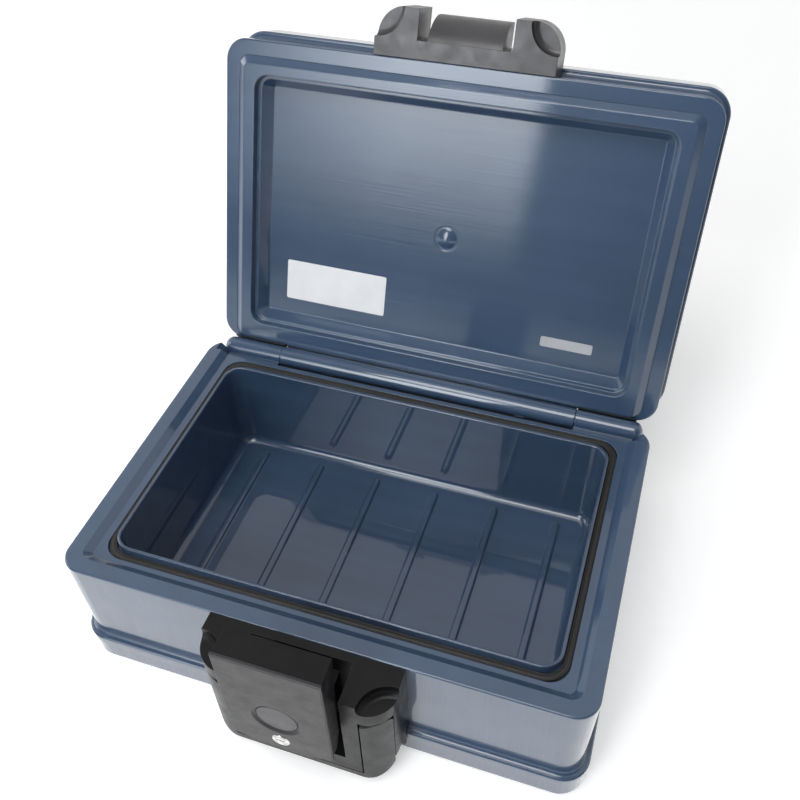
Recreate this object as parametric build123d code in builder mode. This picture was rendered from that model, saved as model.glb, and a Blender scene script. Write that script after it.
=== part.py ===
from build123d import *
import os
from math import cos, radians, sin, tan

os.makedirs("parts", exist_ok=True)

# Fireproof document case: a double-walled base filled with insulation, a matching lid on a
# rear hinge, a push-button latch with a key lock, and a folding carrying handle.
# Millimetres. X runs across, -Y is the front, +Z is up. The origin lies on the underside,
# below the middle of the rim. The lid is stored open.

# Overall sizes, at the rim where lid and base meet
width = 362.0
depth = 239.0
base_height = 107.0
lid_height = 61.0
rim_corner = 16.0
least_corner = 1.5
cut_lap = 20.0

# Outer walls
shell_wall = 3.0
wall_draft = 1.5
foot_height = 27.0
foot_step_height = 20.0
foot_proud = 3.3
foot_step_proud = 2.1
foot_edge = 3.5
ledge_edge = 1.0
ledge_fillet = 3.0
lid_ledge = 33.0
lid_crown_edge = 5.0
rim_edge = 1.2

# Rim, land and seal seat of the base
rim_flat = 11.0
rim_slope = 5.3
rim_inner_corner = 8.0
land_corner = 4.0
land_drop = 4.0
seal_width = 5.1
seal_gap = 0.1
seal_seat_drop = 7.0
seal_top_drop = 3.8
seal_edge = 1.2
seal_corner = 14.0
flange_thickness = 2.3
flange_ledge = 4.1
flange_fit = 0.15
skin = 3.0

# Tray
tray_wall = 2.3
tray_side_margin = 29.1
tray_front_margin = 27.4
tray_back_margin = 28.9
tray_corner = 12.0
tray_draft = 2.0
tray_floor_drop = 80.0
tray_floor_fillet = 6.0
tray_lip_rise = 1.5
tray_lip_edge = 0.7
back_strip = 5.8
floor_rib_pitch = 50.0
floor_rib_count = 6
floor_rib_width = 6.0
floor_rib_height = 2.2
floor_rib_edge = 1.9
floor_rib_inset = 12.0

# Insulation
fill_gap = 0.3

# Hinge
hinge_behind = 4.8
hinge_drop = 9.3
hinge_radius = 8.0
hinge_pin_radius = 2.5
hinge_bore_margin = 3.0
hinge_pin_margin = 0.3
pin_edge = 0.5
running_clearance = 0.05
knuckle_side_margin = 13.0
knuckle_length = 45.0
knuckle_gap = 0.6
trough_depth = 18.0
trough_margin = 12.0
trough_side_margin = 6.0
trough_slant = 10.0
knuckle_foot_drop = 25.0
knuckle_foot_front = 7.0
knuckle_lip = 1.0
lid_web_front = 1.0
lid_web_back = 7.0
lid_web_rise = 19.0
lid_web_root = 3.0
stop_spacing = 160.0
stop_width = 8.0
stop_start = 9.5
stop_end = 15.5
stop_reach = 14.2
stop_thickness = 4.0
stop_foot = 22.0
stop_gap = 0.3
open_angle = 110.0

# Lid rim and liner
parting_gap = 0.3
lid_land_drop = 3.4
liner_wall = 2.5
liner_ledge_width = 3.0
liner_ledge_thickness = 3.0
liner_fit = 0.15
liner_back_margin = 3.0
recess_side_margin = 25.0
recess_front_margin = 23.4
recess_back_margin = 17.6
recess_corner = 11.0
recess_step_rise = 3.0
recess_step_draft = 0.5
recess_step_width = 2.7
recess_slope = 5.8
panel_rise = 13.0
boss_radius = 8.0
boss_height = 2.0
boss_ring_radius = 9.9
boss_ring_depth = 0.3
boss_from_front = 127.0
label_thickness = 0.3
label_corner = 1.5
rating_label_size = (85.5, 33.0)
rating_label_margins = (16.25, 12.5)
serial_label_size = (40.5, 8.2)
serial_label_margins = (22.75, 14.1)

# Latch housing on the base and catch bracket on the lid
latch_half = 65.5
latch_reach = 33.0
latch_corner = 20.0
latch_seat_gap = 0.2
latch_edge = 0.8
ledge_room = 1.0
housing_drop = 92.0
back_plate = 6.0
window_half = 34.0
window_drop = 75.0
jamb_width = 11.0
bottom_bar_drop = 90.0
cap_height = 19.6
side_block_reach = 20.5
side_block_drop = 78.0
side_block_rise = 8.0
scoop_radius = 20.0
scoop_depth = 8.0
scoop_floor_fillet = 4.5
scoop_at = (64.6, 32.7)
bracket_drop = 0.4
bracket_bar = 12.5
bracket_reach = 33.5
catch_half = 27.0
catch_reach = 29.7
catch_belly = (24.5, 12.0)
catch_foot = 1.0
catch_brow = 1.8
neck_half = 24.0
neck_bottom = 40.0

# Carrying handle
handle_arm_inner = 46.0
handle_thickness = 12.0
handle_top_gap = 0.4
handle_drop = 98.0
handle_bar_height = 7.0
handle_corner = 22.0
handle_edge = 0.8
handle_pin_radius = 1.8
handle_pin_end = 54.0
handle_pin_depth = 8.0

# Lock case
case_half = 33.0
case_top_reach = 29.6
case_wall = 2.0
plate_reach = 49.0
plate_thickness = 2.5
plate_overhang = 0.7
plate_top = 47.0
plate_side_drop = 45.6
plate_belly_drop = 51.4
plate_edge = 0.8
case_back = ((29.7, 45.0), (32.0, 14.0), (34.5, -15.0), (34.6, -33.0), (38.7, -43.0))
case_floor_slope = 0.95
case_seat_gap = 0.1
plate_spigot = 3.0
spigot_wall = 1.6
spigot_fit = 0.15
spigot_bottom = 30.0

# Push button
button_drop = 12.2
button_radius = 13.5
button_fit = 0.3
button_sunk = 1.0
button_travel = 3.2
button_flange = 14.7
button_flange_thickness = 1.2
button_dish_radius = 16.3
button_dish_floor = 14.4
button_dish_depth = 1.4
button_edge = 0.8
button_nub_radius = 3.0

# Catch hook, its pin and its spring
hook_angle = 10.5
hook_pivot = (37.9, 5.0)
hook_half = 10.0
hook_thickness = 2.0
hook_gap = 0.2
hook_tip_reach = 25.0
hook_tip_thickness = 3.2
hook_nose = 1.5
hook_tip_gap = 0.6
hook_tail_drop = 31.8
hook_boss_radius = 2.8
hook_boss_end = 4.0
hook_window = 3.2
hook_slot_bottom = 22.0
hook_slot_top = 39.4
hook_slot_margin = 1.0
pivot_pin_radius = 1.2
pivot_lug_width = 3.0
pivot_lug_gap = 0.5
pivot_lug_half = 3.6
spring_radius = 2.2
spring_wire = 0.4
spring_pitch = 1.1
spring_turns = 4

# Key lock
key_drop = 38.7
key_radius = 6.0
key_proud = 0.3
key_edge = 0.4
key_back = 43.5
key_fit = 0.15
plug_radius = 4.2
cam_front = 42.4
key_slot = (1.1, 5.6)
key_slot_depth = 2.5
cam_thickness = 1.4
cam_hub_radius = 3.2
cam_length = 10.0
cam_width = 5.0
shaft_radius = 1.8
cam_clip_radius = 2.4
cam_clip_thickness = 0.8

# Screws
screw_radius = 1.75
screw_head_radius = 3.2
screw_head_height = 2.2
screw_bite = 14.0
screw_seat_gap = 0.1
screw_room = 0.6
screw_fit = 0.05
housing_screw_x = 39.5
housing_screw_drops = (22.0, 68.0)
bracket_screw_x = 50.0
bracket_screw_rises = (11.5, 25.0)
case_screw_x = 19.0
case_screw_drop = 25.0
case_screw_radius = 1.5
case_screw_head_radius = 2.8
case_screw_end = 22.0

# Places worked out from the sizes
front = -depth / 2
back = depth / 2
rim = base_height
wall_height = base_height - foot_height
hinge_y = back + hinge_behind
hinge_z = rim - hinge_drop
trough_front = back - trough_margin
trough_top_half = width / 2 - trough_side_margin
knuckle_end = width / 2 - knuckle_side_margin
knuckle_start = knuckle_end - knuckle_length
hinge_bore_end = knuckle_end - hinge_bore_margin
bracket_top = lid_ledge - bracket_drop
handle_pivot_drop = -cap_height - handle_top_gap - handle_thickness / 2
case_top = plate_top - plate_overhang
plate_back_reach = plate_reach - plate_thickness
flange_front_reach = plate_back_reach - button_travel - hook_gap
button_face = plate_reach - button_sunk
nub_centre = hook_pivot[0] + hook_thickness / 2 + hook_gap + button_nub_radius
neck_reach = case_back[3][0] - case_wall
shaft_end = cam_front - cam_thickness - cam_clip_thickness


def inset(shape, amount):
    """Rounded outline moved inwards by an amount, or outwards where it is negative."""
    half, near, far, corner = shape
    return half - amount, near + amount, far - amount, max(corner - amount, least_corner)


def open_back(shape, lap):
    """Outline whose back edge is moved out by a lap, for cuts that run out at the back."""
    half, near, far, corner = shape
    return half, near, far + lap, corner


def outline(level, shape):
    """Rounded rectangle on a level."""
    half, near, far, corner = shape
    with BuildSketch(level) as sketch:
        with Locations((0, (near + far) / 2)):
            RectangleRounded(2 * half, far - near, corner)
    return sketch.sketch


def slab(level, height, shape, mode=Mode.ADD):
    """Upright block on an outline."""
    extrude(outline(level, shape), amount=height, mode=mode)


def taper(low_level, low_shape, high_level, high_shape, mode=Mode.ADD):
    """Drafted block between two outlines."""
    loft([outline(low_level, low_shape), outline(high_level, high_shape)], mode=mode)


def base_level(rise):
    """Level plane at a height above the rim."""
    return Plane.XY.offset(rim + rise)


def opened(plane):
    """Plane of the closed lid, turned open about the hinge."""
    hinge = Vector(0, hinge_y, hinge_z)
    return Plane(
        origin=hinge + (plane.origin - hinge).rotate(Axis.X, -open_angle),
        x_dir=plane.x_dir.rotate(Axis.X, -open_angle),
        z_dir=plane.z_dir.rotate(Axis.X, -open_angle),
    )


def lid_level(rise):
    """Level plane of the closed lid at a height above the rim, turned open."""
    return opened(base_level(rise))


def facing(y):
    """Upright plane that faces the front, its origin at rim height."""
    return Plane(origin=(0, y, rim), x_dir=(1, 0, 0), z_dir=(0, -1, 0))


def side(x=0.0):
    """Upright plane across the case, its origin at the front edge of the rim."""
    return Plane(origin=(x, front, rim), x_dir=(0, 1, 0), z_dir=(1, 0, 0))


def wall_inset(drop):
    """Distance that the drafted outer wall lies inside the rim at a drop below it."""
    return wall_draft * drop / wall_height


def profile(plane, points):
    """Straight-sided face through points on a plane."""
    with BuildSketch(plane) as sketch:
        with BuildLine():
            Polyline(*points, close=True)
        make_face()
    return sketch.sketch


def bar(plane, points, half_length, mode=Mode.ADD):
    """Prism of a side profile, symmetric about the middle plane."""
    extrude(profile(plane, points), amount=half_length, both=True, mode=mode)


def rod(plane, spots, radius, length, mode=Mode.ADD):
    """Round rods or holes that start on a plane and run along its normal."""
    with BuildSketch(plane) as sketch:
        with Locations(*spots):
            Circle(radius)
    extrude(sketch.sketch, amount=length, mode=mode)


def on_both_sides(x, heights):
    """Places on an upright plane, mirrored left and right at each height."""
    return [(sign * x, height) for height in heights for sign in (-1, 1)]


def tub(wall):
    """Tray form: the open space where the wall is 0, or its outside grown by a wall."""
    floor_shape = inset(tray_opening, tray_draft - wall)
    low = base_level(-tray_floor_drop - wall)
    taper(low, floor_shape, base_level(tray_lip_rise), inset(tray_opening, -wall))
    fillet(edges().group_by(Axis.Z)[0], tray_floor_fillet + wall)


def rim_pocket(low, high, inner_shape, gap):
    """Hollow under the rim along the front and sides, between two heights."""
    outer = inset(rim_shape, wall_inset(-low) + shell_wall + gap)
    short = outer[:2] + (trough_front - shell_wall - gap - rim_corner, outer[3])
    with BuildSketch(base_level(low)) as ring:
        add(outline(Plane.XY, short))
        add(outline(Plane.XY, inset(inner_shape, -gap)), mode=Mode.SUBTRACT)
    extrude(ring.sketch, amount=high - low)


def base_inside(gap):
    """Inner space of the base's shell, less a gap all round."""
    wall = shell_wall + gap
    neck_drop = trough_depth + wall
    slab(Plane.XY.offset(wall), foot_height - 2 * wall, inset(foot_step_shape, wall))
    low_shape = inset(rim_shape, wall_inset(rim - foot_step_height) + wall)
    high_shape = inset(rim_shape, wall_inset(neck_drop) + wall)
    taper(Plane.XY.offset(foot_step_height), low_shape, base_level(-neck_drop), high_shape)
    neck = high_shape[:2] + (trough_front - wall, high_shape[3])
    slab(base_level(-neck_drop), neck_drop + flange_seat_bottom - gap, neck)
    pocket_top = -land_drop - skin - gap
    rim_pocket(flange_seat_bottom - gap, pocket_top, inset(seal_seat, -skin), gap)
    rim_pocket(pocket_top, -skin - gap, rim_inner, gap)


def lid_inside(gap):
    """Inner space of the lid's shell, less a gap all round."""
    wall = shell_wall + gap
    top = lid_height - wall
    start = liner_seat_rise + liner_ledge_thickness + gap
    slab(lid_level(start), top - start, inset(rim_shape, wall_draft + wall))
    slab(lid_level(lid_ledge + wall), top - lid_ledge - wall, inset(foot_shape, wall))


def liner_box(grow):
    """Outside of the liner's pan, grown by a gap."""
    wall = liner_wall + grow
    step_top = recess_step_rise + wall
    slab(lid_level(0), step_top, inset(recess_shape, -wall))
    taper(
        lid_level(step_top),
        inset(step_shape, -wall),
        lid_level(panel_rise + wall),
        inset(panel_shape, -wall),
    )


def latch_plan(level, reach):
    """Housing or bracket seen from above, its two front corners rounded."""
    with BuildSketch(level) as plan:
        with Locations((0, front - (reach + latch_seat_gap) / 2)):
            Rectangle(2 * latch_half, reach - latch_seat_gap)
        fillet(plan.vertices().group_by(Axis.Y)[0], latch_corner)
    return plan.sketch


def scoop(level, lift):
    """Finger scoops in the front corners, each turned about its own upright axis."""
    for sign in (-1, 1):
        spot = Vector(sign * scoop_at[0], front - scoop_at[1], 0)
        centre = level.from_local_coords(spot)
        plane = Plane(origin=centre, x_dir=(1, 0, 0), z_dir=-level.y_dir)
        with BuildSketch(plane) as bowl:
            with Locations((scoop_radius / 2, lift / 2)):
                Rectangle(scoop_radius, abs(lift))
            rim_side = bowl.vertices().group_by(Axis.X)[-1]
            deep = rim_side.sort_by(lambda vertex: abs(vertex.Y))[-1]
            fillet(deep, scoop_floor_fillet)
        revolve(bowl.sketch, axis=Axis(centre, level.z_dir), mode=Mode.SUBTRACT)


def plate_outline(plane, margin):
    """Front plate seen from the front, with its bowed lower edge, less a margin."""
    half = case_half + plate_overhang - margin
    top = plate_top - margin
    low = -plate_side_drop + margin
    belly = -plate_belly_drop + margin
    with BuildSketch(plane) as sketch:
        with BuildLine():
            Polyline((-half, low), (-half, top), (half, top), (half, low))
            ThreePointArc((half, low), (0, belly), (-half, low))
        make_face()
    return sketch.sketch


def case_points(near):
    """Side of the lock case, out to a front edge: distances from the front of the rim."""
    floor = case_back[-1][1] - (near - case_back[-1][0]) * case_floor_slope
    behind = [(-reach, rise) for reach, rise in case_back]
    return [(-near, case_top), (-case_top_reach, case_top)] + behind + [(-near, floor)]


def drawn_back(reach, rise):
    """Point of the hook when it is hooked over, moved to its stored place."""
    turn = radians(hook_angle)
    y = hook_pivot[0] - reach
    z = rise - hook_pivot[1]
    stored_y = y * cos(turn) - z * sin(turn) - hook_pivot[0]
    stored_z = y * sin(turn) + z * cos(turn) + hook_pivot[1]
    return stored_y, stored_z


def swung(reach, rise):
    """Point of the closed lid, swung open, in places on the side plane."""
    arm = Vector(0, reach - hinge_at[0], rise - hinge_at[1]).rotate(Axis.X, -open_angle)
    return hinge_at[0] + arm.Y, hinge_at[1] + arm.Z


# Outlines seen from above: half width, front, back, corner radius
rim_shape = (width / 2, front, back, rim_corner)
rim_inner = inset(rim_shape, rim_flat)[:3] + (rim_inner_corner,)
land_shape = inset(rim_shape, rim_flat + rim_slope)[:3] + (land_corner,)
foot_shape = inset(rim_shape, -foot_proud)
foot_step_shape = inset(rim_shape, -foot_step_proud)
tray_opening = (
    width / 2 - tray_side_margin,
    front + tray_front_margin,
    back - tray_back_margin,
    tray_corner,
)
tray_outside = inset(tray_opening, -tray_wall)
strip_shape = tray_outside[:2] + (tray_outside[2] + back_strip, tray_outside[3])
seal_seat = inset(strip_shape, -seal_width - 2 * seal_gap)[:3] + (seal_corner,)
flange_top = -seal_seat_drop
flange_bottom = flange_top - flange_thickness
flange_seat_bottom = flange_bottom - skin
liner_seat_rise = parting_gap + liner_wall
liner_opening = rim_inner[:2] + (back - liner_back_margin, rim_inner_corner)
recess_shape = (
    width / 2 - recess_side_margin,
    front + recess_front_margin,
    back - recess_back_margin,
    recess_corner,
)
step_shape = inset(recess_shape, recess_step_draft + recess_step_width)
panel_shape = inset(step_shape, recess_slope)

# Hinge axis and pivots on the side plane
hinge_at = (depth + hinge_behind, -hinge_drop)
handle_pivot = (-latch_reach + handle_thickness / 2, handle_pivot_drop)
hook_at = (-hook_pivot[0], hook_pivot[1])

# Space inside the base's shell, under its rim
with BuildPart() as base_cavity:
    base_inside(0)

# Outer shell of the base
with BuildPart() as base_outer_shell:
    slab(Plane.XY, foot_step_height, foot_step_shape)
    fillet(edges().group_by(Axis.Z)[0], foot_edge)
    slab(Plane.XY.offset(foot_step_height), foot_height - foot_step_height, foot_shape)
    chamfer(edges().group_by(Axis.Z)[-1], ledge_edge)
    taper(Plane.XY.offset(foot_height), inset(rim_shape, wall_draft), base_level(0), rim_shape)
    fillet(edges(Select.LAST).group_by(Axis.Z)[0], ledge_fillet)
    fillet(edges().group_by(Axis.Z)[-1], rim_edge)
    add(base_cavity.part, mode=Mode.SUBTRACT)
    taper(
        base_level(-land_drop),
        open_back(land_shape, cut_lap),
        base_level(0),
        open_back(rim_inner, cut_lap),
        mode=Mode.SUBTRACT,
    )
    slab(base_level(flange_bottom), -flange_bottom, seal_seat, mode=Mode.SUBTRACT)
    flange_hole = inset(seal_seat, flange_ledge)
    slab(base_level(flange_seat_bottom), skin, flange_hole, mode=Mode.SUBTRACT)
    trough = [
        (-trough_top_half + trough_slant, -trough_depth),
        (trough_top_half - trough_slant, -trough_depth),
        (trough_top_half, 0),
        (-trough_top_half, 0),
    ]
    trough_face = profile(facing(back + cut_lap), trough)
    extrude(trough_face, amount=trough_margin + cut_lap, mode=Mode.SUBTRACT)
    knuckle_foot = [
        (depth - knuckle_foot_front, -trough_depth),
        (depth - knuckle_foot_front, -hinge_drop),
        hinge_at,
        (hinge_at[0] + hinge_radius, -hinge_drop - knuckle_lip),
        (depth - shell_wall / 2, -hinge_drop - knuckle_foot_drop),
        (depth - shell_wall / 2, -trough_depth),
    ]
    for start in (-knuckle_end, knuckle_start):
        extrude(profile(side(start), knuckle_foot), amount=knuckle_length)
        rod(side(start), [hinge_at], hinge_radius, knuckle_length)
    stop = [
        (depth - shell_wall / 2, -trough_depth - stop_foot),
        (depth - shell_wall / 2, -trough_depth - 1),
        (hinge_at[0] + hinge_radius, -trough_depth - 1),
        swung(depth + lid_web_back + stop_gap, -hinge_drop + stop_start),
        swung(depth + lid_web_back + stop_gap, -hinge_drop + stop_end),
        (hinge_at[0] + stop_reach, -trough_depth - stop_thickness),
    ]
    for x in (-stop_spacing / 2, stop_spacing / 2):
        extrude(profile(side(x - stop_width / 2), stop), amount=stop_width)
    bore_radius = hinge_pin_radius + running_clearance
    rod(side(-hinge_bore_end), [hinge_at], bore_radius, 2 * hinge_bore_end, Mode.SUBTRACT)
    hole_radius = screw_radius + screw_fit
    hole_spots = on_both_sides(housing_screw_x, [-drop for drop in housing_screw_drops])
    rod(facing(front + cut_lap), hole_spots, hole_radius, 2 * cut_lap, Mode.SUBTRACT)
base_outer_shell.part.label = "base_outer_shell"
export_step(base_outer_shell.part, "parts/base_outer_shell.step")

# Open space of the tray
with BuildPart() as tray_space:
    tub(0)

# Inner tray with its flange, seal strip and floor ribs
with BuildPart() as base_inner_tray:
    tub(tray_wall)
    slab(base_level(flange_bottom), flange_thickness, inset(seal_seat, flange_fit))
    slab(base_level(flange_top), seal_seat_drop - land_drop, strip_shape)
    add(tray_space.part, mode=Mode.SUBTRACT)
    fillet(edges().group_by(Axis.Z)[-1], tray_lip_edge)
    floor_shape = inset(tray_opening, tray_draft)
    rib_near = floor_shape[1] + floor_rib_inset
    rib_far = floor_shape[2] - floor_rib_inset
    with BuildSketch(base_level(-tray_floor_drop)) as rib_plan:
        with Locations((0, (rib_near + rib_far) / 2)):
            with GridLocations(floor_rib_pitch, 1, floor_rib_count, 1):
                SlotOverall(rib_far - rib_near, floor_rib_width, rotation=90)
    extrude(rib_plan.sketch, amount=floor_rib_height)
    fillet(edges(Select.LAST).group_by(Axis.Z)[-1], floor_rib_edge)
base_inner_tray.part.label = "base_inner_tray"
export_step(base_inner_tray.part, "parts/base_inner_tray.step")

# Rubber seal round the tray
with BuildPart() as tray_gasket:
    seal_height = seal_seat_drop - seal_top_drop
    slab(base_level(flange_top), seal_height, inset(seal_seat, seal_gap))
    slab(base_level(flange_top), seal_height, inset(strip_shape, -seal_gap), Mode.SUBTRACT)
    fillet(edges().group_by(Axis.Z)[-1], seal_edge)
tray_gasket.part.label = "tray_gasket"
export_step(tray_gasket.part, "parts/tray_gasket.step")

# Tray with the gap that the insulation keeps from it
with BuildPart() as tray_room:
    tub(tray_wall + fill_gap)

# Insulation of the base, cast round the screw heads
with BuildPart() as base_fire_fill:
    base_inside(fill_gap)
    add(tray_room.part, mode=Mode.SUBTRACT)
    head_room = screw_head_radius + screw_room
    room_depth = wall_draft + shell_wall + screw_head_height + screw_room
    rod(facing(front + room_depth), hole_spots, head_room, room_depth, Mode.SUBTRACT)
base_fire_fill.part.label = "base_fire_fill"
export_step(base_fire_fill.part, "parts/base_fire_fill.step")

# Hinge pin, held in the base's knuckles
with BuildPart() as hinge_pin:
    pin_end = hinge_bore_end - hinge_pin_margin
    rod(side(-pin_end), [hinge_at], hinge_pin_radius, 2 * pin_end)
    chamfer(edges().group_by(Axis.X)[0] + edges().group_by(Axis.X)[-1], pin_edge)
hinge_pin.part.label = "hinge_pin"
export_step(hinge_pin.part, "parts/hinge_pin.step")

# Outer shell of the lid, with its hinge web and barrel
lid_up = Axis(lid_level(0).origin, lid_level(0).z_dir)
with BuildPart() as lid_cavity:
    lid_inside(0)
with BuildPart() as lid_outer_shell:
    slab(lid_level(lid_ledge), lid_height - lid_ledge, foot_shape)
    fillet(edges().group_by(lid_up)[-1], lid_crown_edge)
    chamfer(edges().group_by(lid_up)[0], ledge_edge)
    taper(
        lid_level(parting_gap),
        rim_shape,
        lid_level(lid_ledge),
        inset(rim_shape, wall_draft),
    )
    fillet(edges(Select.LAST).group_by(lid_up)[-1], ledge_fillet)
    fillet(edges().group_by(lid_up)[0], rim_edge)
    add(lid_cavity.part, mode=Mode.SUBTRACT)
    slab(lid_level(parting_gap), liner_wall, liner_opening, mode=Mode.SUBTRACT)
    liner_hole = inset(liner_opening, liner_ledge_width)
    slab(lid_level(parting_gap), cut_lap / 2, liner_hole, mode=Mode.SUBTRACT)
    web = [
        (depth - lid_web_root, parting_gap),
        (depth - lid_web_root, lid_web_rise - hinge_drop),
        (depth + lid_web_back, lid_web_rise - hinge_drop),
        (depth + lid_web_back, -hinge_drop),
        (depth - lid_web_front, -hinge_drop),
        (depth - lid_web_front, parting_gap),
    ]
    lid_knuckle_end = knuckle_start - knuckle_gap
    lid_knuckle_start = opened(side(-lid_knuckle_end))
    extrude(profile(lid_knuckle_start, web), amount=2 * lid_knuckle_end)
    rod(lid_knuckle_start, [hinge_at], hinge_radius, 2 * lid_knuckle_end)
    rod(lid_knuckle_start, [hinge_at], bore_radius, 2 * lid_knuckle_end, Mode.SUBTRACT)
    bracket_spots = on_both_sides(bracket_screw_x, bracket_screw_rises)
    bracket_holes = opened(facing(front + cut_lap))
    rod(bracket_holes, bracket_spots, hole_radius, 2 * cut_lap, Mode.SUBTRACT)
lid_outer_shell.part.label = "lid_outer_shell"
export_step(lid_outer_shell.part, "parts/lid_outer_shell.step")

# Liner of the lid: raised land, stepped recess and panel
with BuildPart() as lid_inner_panel:
    liner_shape = inset(liner_opening, liner_fit)
    plateau = land_shape[:2] + (liner_shape[2], land_corner)
    taper(lid_level(-lid_land_drop), plateau, lid_level(parting_gap), liner_shape)
    slab(lid_level(parting_gap), liner_wall, liner_shape)
    liner_box(0)
    with BuildSketch(lid_level(-lid_land_drop + liner_wall)) as land_back:
        add(outline(Plane.XY, inset(plateau, liner_wall / 2)))
        add(outline(Plane.XY, inset(recess_shape, -liner_wall)), mode=Mode.SUBTRACT)
    extrude(land_back.sketch, amount=lid_land_drop + cut_lap / 2, mode=Mode.SUBTRACT)
    taper(
        lid_level(-lid_land_drop),
        recess_shape,
        lid_level(recess_step_rise),
        inset(recess_shape, recess_step_draft),
        mode=Mode.SUBTRACT,
    )
    taper(
        lid_level(recess_step_rise),
        step_shape,
        lid_level(panel_rise),
        panel_shape,
        mode=Mode.SUBTRACT,
    )
    boss_spot = [(0, front + boss_from_front)]
    boss_level = lid_level(panel_rise)
    rod(boss_level, boss_spot, boss_ring_radius, boss_ring_depth, Mode.SUBTRACT)
    with BuildSketch(opened(side())) as dome_half:
        with BuildLine():
            crown = (boss_from_front, panel_rise - boss_height)
            foot = (boss_from_front + boss_radius, panel_rise + boss_ring_depth)
            TangentArc(crown, foot, tangent=(1, 0))
            Polyline(foot, (boss_from_front, panel_rise + boss_ring_depth), crown)
        make_face()
    boss_centre = boss_level.from_local_coords(boss_spot[0])
    revolve(dome_half.sketch, axis=Axis(boss_centre, boss_level.z_dir))
lid_inner_panel.part.label = "lid_inner_panel"
export_step(lid_inner_panel.part, "parts/lid_inner_panel.step")

# Liner with the gap that the insulation keeps from it
with BuildPart() as liner_room:
    liner_box(fill_gap)

# Insulation of the lid
with BuildPart() as lid_fire_fill:
    lid_inside(fill_gap)
    add(liner_room.part, mode=Mode.SUBTRACT)
    lid_screw_room = opened(facing(front + room_depth))
    rod(lid_screw_room, bracket_spots, head_room, room_depth, Mode.SUBTRACT)
lid_fire_fill.part.label = "lid_fire_fill"
export_step(lid_fire_fill.part, "parts/lid_fire_fill.step")

# Blank labels on the lid's panel
with BuildPart() as rating_label:
    with BuildSketch(lid_level(panel_rise)) as rating_face:
        rating_x = -panel_shape[0] + rating_label_margins[0] + rating_label_size[0] / 2
        rating_y = panel_shape[2] - rating_label_margins[1] - rating_label_size[1] / 2
        with Locations((rating_x, rating_y)):
            RectangleRounded(*rating_label_size, label_corner)
    extrude(rating_face.sketch, amount=-label_thickness)
rating_label.part.label = "rating_label"
export_step(rating_label.part, "parts/rating_label.step")

with BuildPart() as serial_label:
    with BuildSketch(lid_level(panel_rise)) as serial_face:
        serial_x = panel_shape[0] - serial_label_margins[0] - serial_label_size[0] / 2
        serial_y = panel_shape[2] - serial_label_margins[1] - serial_label_size[1] / 2
        with Locations((serial_x, serial_y)):
            RectangleRounded(*serial_label_size, label_corner)
    extrude(serial_face.sketch, amount=-label_thickness)
serial_label.part.label = "serial_label"
export_step(serial_label.part, "parts/serial_label.step")

# Catch bracket on the front of the lid
with BuildPart() as lid_catch_bracket:
    bracket_height = bracket_top - parting_gap
    extrude(latch_plan(lid_level(parting_gap), bracket_reach), amount=bracket_height)
    draft_top = lid_ledge - ledge_fillet - latch_seat_gap
    draft_wedge = [
        (-latch_seat_gap, parting_gap),
        (wall_draft * draft_top / lid_ledge - latch_seat_gap, draft_top),
        (-latch_seat_gap, draft_top),
    ]
    bar(opened(side()), draft_wedge, latch_half)
    between_ears = [
        (-bracket_bar, 0),
        (-bracket_reach - 1, 0),
        (-bracket_reach - 1, lid_ledge),
        (-bracket_bar, lid_ledge),
    ]
    bar(opened(side()), between_ears, window_half, Mode.SUBTRACT)
    scoop(lid_level(parting_gap), scoop_depth)
    fillet(edges().group_by(lid_up)[-1].filter_by(GeomType.LINE), latch_edge)
    with BuildSketch(opened(side())) as catch_side:
        with BuildLine():
            brow = (-catch_reach, bracket_top - catch_brow)
            belly = (-catch_belly[0], catch_belly[1])
            ThreePointArc((-bracket_bar, catch_foot), belly, brow)
            Polyline(
                brow,
                (-catch_reach, bracket_top),
                (-bracket_bar + 1, bracket_top),
                (-bracket_bar + 1, catch_foot),
                (-bracket_bar, catch_foot),
            )
        make_face()
    extrude(catch_side.sketch, amount=catch_half, both=True)
    pilot_length = wall_draft + screw_bite + 1
    pilot_plane = opened(facing(front + wall_draft))
    rod(pilot_plane, bracket_spots, hole_radius, pilot_length, Mode.SUBTRACT)
lid_catch_bracket.part.label = "lid_catch_bracket"
export_step(lid_catch_bracket.part, "parts/lid_catch_bracket.step")

# Screws of the bracket, driven from inside the lid's front wall
with BuildPart() as bracket_screws:
    seat = wall_draft + shell_wall + screw_seat_gap
    head_plane = opened(facing(front + seat + screw_head_height))
    rod(head_plane, bracket_spots, screw_head_radius, screw_head_height)
    rod(opened(facing(front + seat)), bracket_spots, screw_radius, seat + screw_bite)
bracket_screws.part.label = "bracket_screws"
export_step(bracket_screws.part, "parts/bracket_screws.step")

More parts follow.
